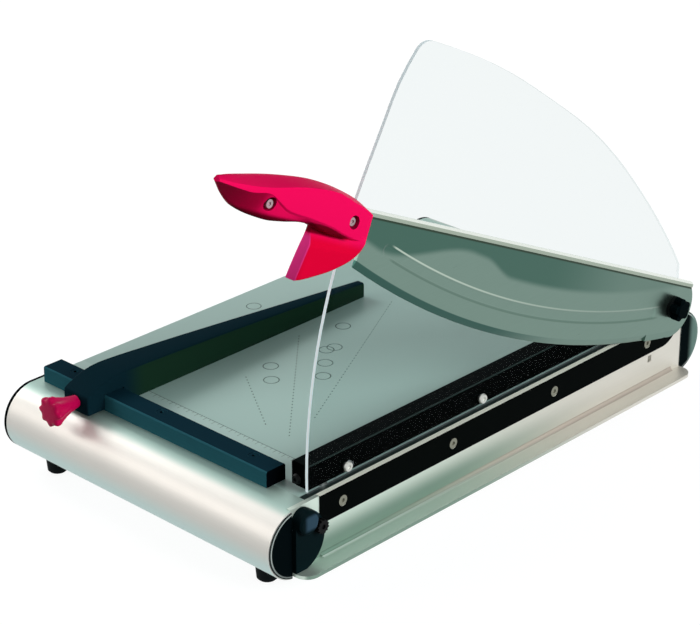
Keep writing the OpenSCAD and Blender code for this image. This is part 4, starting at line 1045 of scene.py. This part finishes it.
OVERCUT, HOLE_OVERCUT, HOLE_FIT = 10 * MM, 1 * MM, 0.1 * MM
HOLE_SIDES, GAUGE_CREASE = 24, 40.0
stud_low, stud_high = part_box("clamp_stud")
stud_x, stud_z = (stud_low[0] + stud_high[0]) / 2, (stud_low[2] + stud_high[2]) / 2
stud_r = (stud_high[0] - stud_low[0]) / 2 + HOLE_FIT
turns = [2 * math.pi * k / HOLE_SIDES for k in range(HOLE_SIDES)]
hole = [[(stud_x + stud_r * math.cos(t), y, stud_z + stud_r * math.sin(t)) for t in turns]
        for y in (gauge_low[1] - HOLE_OVERCUT, rail_low[1] + HOLE_OVERCUT)]
channel = box_between((gauge_low[0] - OVERCUT, rail_low[1] - SLIDE_GAP * MM, TABLE_Z - OVERCUT),
                      (gauge_high[0] + OVERCUT, rail_high[1] + SLIDE_GAP * MM, rail_high[2] + SLIDE_GAP * MM))
gauge_cuts = [solid("channel", *channel), solid("stud_hole", *loft(hole))]
gauge_mesh = carve(solid("gauge", *loft(gauge_rings)), gauge_cuts)

# Fine-grained moulding: blue-black, with hardly any shine.
gauge_paint = surface("blue-black moulded plastic", "#102c36", "#0c222a", 0.35, EVEN, 0.02,
                      Roughness=0.4, IOR=1.02)
tree = gauge_paint.node_tree
behind_rail = fade(tree, along(tree, rail_high, BACKWARD), 0, 25)
# Painted reflection: a greener black on the right side behind the rail.
tint(gauge_paint, overlap(tree, facing(tree, OUTWARD), behind_rail), "#1a3426")
finish_piece("gauge_moulded", gauge_mesh, gauge_paint, ["gauge_arm"], GAUGE_CREASE)
print("gauge faces", len(gauge_mesh.polygons))

# %% [markdown]
# ## The clamp knob
# The knob is a moulding, built here in rings about the stud: a slightly domed face, a lobed rim, and a
# cone that runs back to the gauge. A spin would give a round knob, while rings whose radius changes
# with the angle give the lobes as well, which fade out along the cone.

# %% Clamp knob
knob_low, knob_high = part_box("clamp_knob")
KNOB_X, KNOB_Z = (knob_low[0] + knob_high[0]) / 2, (knob_low[2] + knob_high[2]) / 2
KNOB_GROW, KNOB_SIDES = 1.1, 96
LOBES, LOBE_SHARPNESS, KNOB_CREASE = 8, 0.8, 50.0
# distance behind the face, radius, depth of the hollows between the lobes
knob_profile = [
    (0.0, 3.0, 0.0), (0.1, 7.0, 0.4), (0.3, 9.8, 1.4), (0.9, 11.4, 2.2), (2.0, 12.0, 2.5), (5.0, 12.0, 2.5),
    (6.4, 11.4, 2.2), (8.6, 10.2, 1.5), (14.0, 8.2, 0.7), (20.0, 6.4, 0.2), (26.0, 5.2, 0.0),
    (29.0, 4.9, 0.0),
]


def knob_ring(behind, radius, hollow):
    """One lobed ring of the knob."""
    ring = []
    for k in range(KNOB_SIDES):
        turn = 2 * math.pi * k / KNOB_SIDES
        r = KNOB_GROW * (radius - hollow * (0.5 - 0.5 * math.cos(LOBES * turn)) ** LOBE_SHARPNESS)
        ring.append((KNOB_X + r * MM * math.cos(turn), knob_low[1] + behind * MM,
                     KNOB_Z + r * MM * math.sin(turn)))
    return ring


knob_mesh = mesh_of("clamp_knob_turned", *loft([knob_ring(*station) for station in knob_profile]))
finish_piece("clamp_knob_turned", knob_mesh, knob_red, ["clamp_knob"], KNOB_CREASE)
print("knob length", round((knob_high[1] - knob_low[1]) / MM, 1))

# %% [markdown]
# ## The clear guard
# Seen through its faces an acrylic sheet nearly disappears, while its sawn edges gather light and look
# bright. So the faces let light straight through with a faint reflection, and the edges are frosted. The
# front edge has a painted glow, a little in its lower half, and the rims behind it and along its foot
# fade. Refracting glass would be truer, but a thin flat sheet hardly bends the view and would render with
# noise.

# %% Acrylic sheet
guard_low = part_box("guard")[0]
# foot and head of the front edge, along Y and Z in mm
EDGE_FOOT, EDGE_HEAD = (-224.0, 77.0), (-108.0, 401.0)
EDGE_BACK = Vector((0, EDGE_HEAD[1] - EDGE_FOOT[1], EDGE_FOOT[0] - EDGE_HEAD[0])).normalized()
GLOSS_SHARE = 0.001

guard_paint, tree, bsdf = new_material("clear acrylic sheet", Base_Color=linear("#dfeef2"), Roughness=0.35,
                                       Specular_IOR_Level=0.3, Emission_Color=linear("#e4f0f2"))
clear = add(tree, "ShaderNodeBsdfTransparent", Color=linear("#f7f9f9"))
gloss = add(tree, "ShaderNodeBsdfGlossy", Color=(1, 1, 1, 1), Roughness=0.05)
sheet = add(tree, "ShaderNodeMixShader", {1: clear.outputs[0], 2: gloss.outputs[0]})
sheet.inputs[0].default_value = GLOSS_SHARE
above_foot = along(tree, guard_low, UP)
# Painted glow on the frosted edges, stronger near the foot.
tree.links.new(fade(tree, above_foot, 140, 220, 0.33, 0.05), bsdf.inputs["Emission Strength"])
low_rim = fade(tree, above_foot, 1, 2, 0.93, 0.0)
behind_edge = along(tree, (0, EDGE_FOOT[0] * MM, EDGE_FOOT[1] * MM), EDGE_BACK)
far_rim = fade(tree, behind_edge, 30, 45, 0.0, 0.82)
clearness = combine(tree, "MAXIMUM", facing(tree, OUTWARD), facing(tree, INWARD), low_rim, far_rim)
either = add(tree, "ShaderNodeMixShader", {0: clearness, 1: bsdf.outputs[0], 2: sheet.outputs[0]})
tree.links.new(either.outputs[0], tree.nodes["Material Output"].inputs["Surface"])
paints["clear_acrylic"] = guard_paint
print("guard material", guard_paint.name)

# %% [markdown]
# The sheet's outline is a free curve. Its front edge leans and its top curve sags a few millimetres from
# the arcs of the CAD, so the copy's points are moved within the plane of the sheet.

# %% Guard outline
SAG_FROM, SAG_OVER = 100.0, 100.0
guard_lean = through([(77, 4.2), (207, 3.2), (316, 2), (349, 0), (381, -5.4), (406, -6.5)])
lean_share = through([(-230, 1), (-90, 1), (-20, 0.3), (40, 0), (240, 0)])
guard_sag = through([(-230, 0), (-120, 0), (-85, 1.5), (0, 5), (51, 6), (119, 2), (193, 1.9), (240, 0)])


def bend_outline(shape):
    """Moves the guard's front edge and its top curve within its own plane."""
    for vert in shape.verts:
        y, z = vert.co.y / MM, vert.co.z / MM
        vert.co.y += guard_lean(z) * lean_share(y) * MM
        vert.co.z -= guard_sag(y) * min(max((z - SAG_FROM) / SAG_OVER, 0.0), 1.0) * MM


guard = soften("guard", 0.4, reshape=bend_outline)
print("guard faces", len(guard.data.polygons))

# %% [markdown]
# ## Printed marks on the table
# A ruler and dashed lines for common sheet sizes are printed on the enamel, with small rings that
# mark where they meet. Ink is only a film, so each mark is a flat block whose top lies a hair above
# the enamel. One Geometry Nodes tree repeats a block along a line, with the count, the start, the
# step, the size and the turn as its inputs. A second tree sets flattened rings on given points.

# %% Trees for rows of marks and for rings
RING_SIDES, LINE_SIDES = 32, 6


def new_tree(name, **inputs):
    """A Geometry Nodes tree with named inputs and one output; returns it with its input sockets."""
    tree = bpy.data.node_groups.new(name, "GeometryNodeTree")
    tree.interface.new_socket("Marks", in_out="OUTPUT", socket_type="NodeSocketGeometry")
    for socket, kind in inputs.items():
        tree.interface.new_socket(socket, in_out="INPUT", socket_type="NodeSocket" + kind)
    return tree, add(tree, "NodeGroupInput").outputs


def close_tree(tree, points, shape, turn, ink_socket):
    """Ends a tree: the shape on every point, made real and inked."""
    links = {"Points": points, "Instance": shape}
    if turn:
        links["Rotation"] = turn
    spread = add(tree, "GeometryNodeInstanceOnPoints", links)
    real = add(tree, "GeometryNodeRealizeInstances", {"Geometry": spread.outputs[0]})
    inked = add(tree, "GeometryNodeSetMaterial", {"Geometry": real.outputs[0], "Material": ink_socket})
    add(tree, "NodeGroupOutput", {"Marks": inked.outputs[0]})


row_tree, given = new_tree("row_of_marks", Count="Int", Start="Vector", Step="Vector", Size="Vector",
                           Turn="Float", Ink="Material")
line = add(row_tree, "GeometryNodeMeshLine",
           {"Count": given["Count"], "Start Location": given["Start"], "Offset": given["Step"]})
mark = add(row_tree, "GeometryNodeMeshCube", {"Size": given["Size"]})
turned = add(row_tree, "ShaderNodeCombineXYZ", {"Z": given["Turn"]})
close_tree(row_tree, line.outputs[0], mark.outputs[0], turned.outputs[0], given["Ink"])

ring_tree, given = new_tree("rings_on_points", Places="Geometry", Radius="Float", Line="Float",
                            Flatten="Vector", Ink="Material")
circle = add(ring_tree, "GeometryNodeCurvePrimitiveCircle", {"Radius": given["Radius"]},
             Resolution=RING_SIDES)
stroke = add(ring_tree, "GeometryNodeCurvePrimitiveCircle", {"Radius": given["Line"]},
             Resolution=LINE_SIDES)
tube = add(ring_tree, "GeometryNodeCurveToMesh",
           {"Curve": circle.outputs[0], "Profile Curve": stroke.outputs[0]})
flat_ring = add(ring_tree, "GeometryNodeTransform", {"Geometry": tube.outputs[0], "Scale": given["Flatten"]})
close_tree(ring_tree, given["Places"], flat_ring.outputs[0], None, given["Ink"])
print("trees", row_tree.name, ring_tree.name)

# %% [markdown]
# Each row and the rings become plain meshes, which are joined into one piece on the base. The ink is
# worn, so its colour changes in patches a few millimetres wide.

# %% Ruler, dashed lines and rings
# the ink's top lies just under the CAD's table top, and so above the softened enamel
INK_THICK, INK_LOWER = 0.05 * MM, 0.005 * MM
INK_Z = TABLE_Z - INK_LOWER - INK_THICK / 2
RULER_FROM, RULER_TO = -140.0, 145.0
DASH, DASH_GAP, DASH_WIDE = 1.8, 3.6, 1.0
RING_R, RING_LINE = 6.5, 0.5
dashed_lines = [((-30, -113), (45, -163)), ((-54, -26), (70, -162)), ((-44, 81), (63, -126))]
ring_places = [(-126.5, -10), (-30, -84), (-11, -102), (-40.5, 15), (-16.5, -20.5), (-18, -29), (-1, -48),
               (15, -67)]
# Rubbed ink: dark green-grey in places, nearly gone in others.
ink = surface("worn printing ink", "#8aa49d", "#2b3f3b", 5.0, EVEN, 0.002, Roughness=0.5, IOR=1.2)


def marks(tree, mesh, **values):
    """The mesh that a tree makes of a start mesh with its inputs set to values."""
    thing = bpy.data.objects.new(tree.name, mesh)
    bpy.context.scene.collection.objects.link(thing)
    modifier = thing.modifiers.new("marks", "NODES")
    modifier.node_group = tree
    for item in tree.interface.items_tree:
        if item.in_out == "INPUT" and item.name in values:
            modifier[item.identifier] = values[item.name]
    graph = bpy.context.evaluated_depsgraph_get()
    made = bpy.data.meshes.new_from_object(thing.evaluated_get(graph))
    thing.modifiers.remove(modifier)
    bpy.data.objects.remove(thing)
    return made


def row_of(count, start, step, size, turn=0.0):
    """A row of ink marks; places and sizes in mm on the table."""
    blank = bpy.data.meshes.new("blank")
    return marks(row_tree, blank, Count=count, Start=(start[0] * MM, start[1] * MM, INK_Z),
                 Step=(step[0] * MM, step[1] * MM, 0.0), Size=(size[0] * MM, size[1] * MM, INK_THICK),
                 Turn=turn, Ink=ink)


# each row: count, first place, step, size of one mark
rows = [
    row_of(58, (RULER_FROM, RULER_FAR - 1.5), (5, 0), (0.35, 2.4)),
    row_of(29, (RULER_FROM, RULER_FAR - 2.4), (10, 0), (0.4, 4.4)),
    row_of(1, ((RULER_FROM + RULER_TO) / 2, RULER_FAR), (1, 0), (RULER_TO - RULER_FROM, 0.6)),
]
for start, end in dashed_lines:
    run = Vector(end) - Vector(start)
    stride = run.normalized() * (DASH + DASH_GAP)
    count = int(run.length / stride.length) + 1
    rows.append(row_of(count, start, stride, (DASH, DASH_WIDE), math.atan2(run.y, run.x)))
places = mesh_of("ring_places", [(x * MM, y * MM, INK_Z) for x, y in ring_places], [])
rows.append(marks(ring_tree, places, Radius=RING_R * MM, Line=RING_LINE * MM,
                  Flatten=(1.0, 1.0, INK_THICK / (2 * RING_LINE * MM)), Ink=ink))
joined = bmesh.new()
for made in rows:
    joined.from_mesh(made)
print_mesh = bpy.data.meshes.new("table_print")
joined.to_mesh(print_mesh)
joined.free()
print_mesh.materials.append(ink)
table_print = bpy.data.objects.new("table_print", print_mesh)
bpy.context.scene.collection.objects.link(table_print)
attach(table_print, "base")
print("print faces", len(print_mesh.polygons))


# %% [markdown]
# ## Floor, sky and lamps
# The floor and the sky are white for the camera and in reflections, but give only a plain amount of
# light to the object: most near the horizon and less from above, as between tall soft panels. So
# colours render about as they are written, and the floor keeps a soft shadow.

# %% Sky
def seen_directly(tree):
    """1 for what the camera sees, also through clear pieces and in shiny ones, and 0 for other light."""
    path = add(tree, "ShaderNodeLightPath")
    rays = ("Is Camera Ray", "Is Transmission Ray", "Is Glossy Ray")
    return combine(tree, "MAXIMUM", *(path.outputs[ray] for ray in rays))


HORIZON_LIGHT, TOP_LIGHT, TOP_FROM = 0.5, 0.15, 0.8
world = bpy.data.worlds.new("studio")
world.use_nodes = True
sky = world.node_tree
sky.nodes.clear()
sky_place = add(sky, "ShaderNodeTexCoord")
height = add(sky, "ShaderNodeSeparateXYZ", {0: sky_place.outputs["Generated"]})
level = add(sky, "ShaderNodeMapRange", {"Value": height.outputs["Z"]},
            From_Min=0.0, From_Max=TOP_FROM, To_Min=HORIZON_LIGHT, To_Max=TOP_LIGHT)
plain = add(sky, "ShaderNodeBackground", {"Strength": level.outputs[0]}, Color=linear("#f4f7f8"))
white = add(sky, "ShaderNodeBackground", Color=(1, 1, 1, 1), Strength=1.0)
sky_mix = add(sky, "ShaderNodeMixShader", {0: seen_directly(sky), 1: plain.outputs[0], 2: white.outputs[0]})
add(sky, "ShaderNodeOutputWorld", {"Surface": sky_mix.outputs[0]})
bpy.context.scene.world = world
print("sky from", HORIZON_LIGHT, "at the horizon to", TOP_LIGHT, "above")

# %% [markdown]
# The floor is a sheet of grey paper with a glow that only the camera and reflections see. The two add up
# to white, and a shadow shows where the paper loses its share of the light.

# %% Floor
FLOOR_REACH, FLOOR_GLOW = 6.0, 0.92
floor_corners = [(x * FLOOR_REACH, y * FLOOR_REACH, 0) for x, y in ((-1, -1), (1, -1), (1, 1), (-1, 1))]
floor_mesh = mesh_of("floor", floor_corners, [(0, 1, 2, 3)])
floor = bpy.data.objects.new("floor", floor_mesh)
bpy.context.scene.collection.objects.link(floor)
# Matt paper: an even tone with no shine.
floor_paint, tree, bsdf = new_material("white paper floor", Base_Color=linear("#585c5c"), Roughness=0.9)
glow_level = combine(tree, "MULTIPLY", seen_directly(tree), FLOOR_GLOW)
glow = add(tree, "ShaderNodeEmission", {"Strength": glow_level}, Color=(1, 1, 1, 1))
both = add(tree, "ShaderNodeAddShader", {0: bsdf.outputs[0], 1: glow.outputs[0]})
tree.links.new(both.outputs[0], tree.nodes["Material Output"].inputs["Surface"])
floor_mesh.materials.append(floor_paint)
print("floor", 2 * FLOOR_REACH, "m square")

# %% [markdown]
# Three large round lamps stand for soft boxes. The right one lights the wall and the blade, the left one
# the table, and a weak, slightly warm one in front draws the highlight along the nose.

# %% Lamps
CENTRE = (0.0, 0.0, 0.1)


def lamp(name, at, size, watts, colour="#ffffff"):
    """A round soft lamp that looks at the cutter."""
    data = bpy.data.lights.new(name, "AREA")
    data.shape = "DISK"
    data.size = size
    data.energy = watts
    data.color = linear(colour)[:3]
    light = bpy.data.objects.new(name, data)
    light.location = at
    light.rotation_euler = (Vector(CENTRE) - Vector(at)).to_track_quat("-Z", "Y").to_euler()
    bpy.context.scene.collection.objects.link(light)


lamp("right", (2.3, 0.2, 1.15), 1.4, 44)
lamp("front", (-1.4, -2.0, 1.1), 1.2, 13, "#fff6f3")
lamp("left", (-2.2, -0.2, 1.4), 1.0, 26)
print("lamps", len(bpy.data.lights))
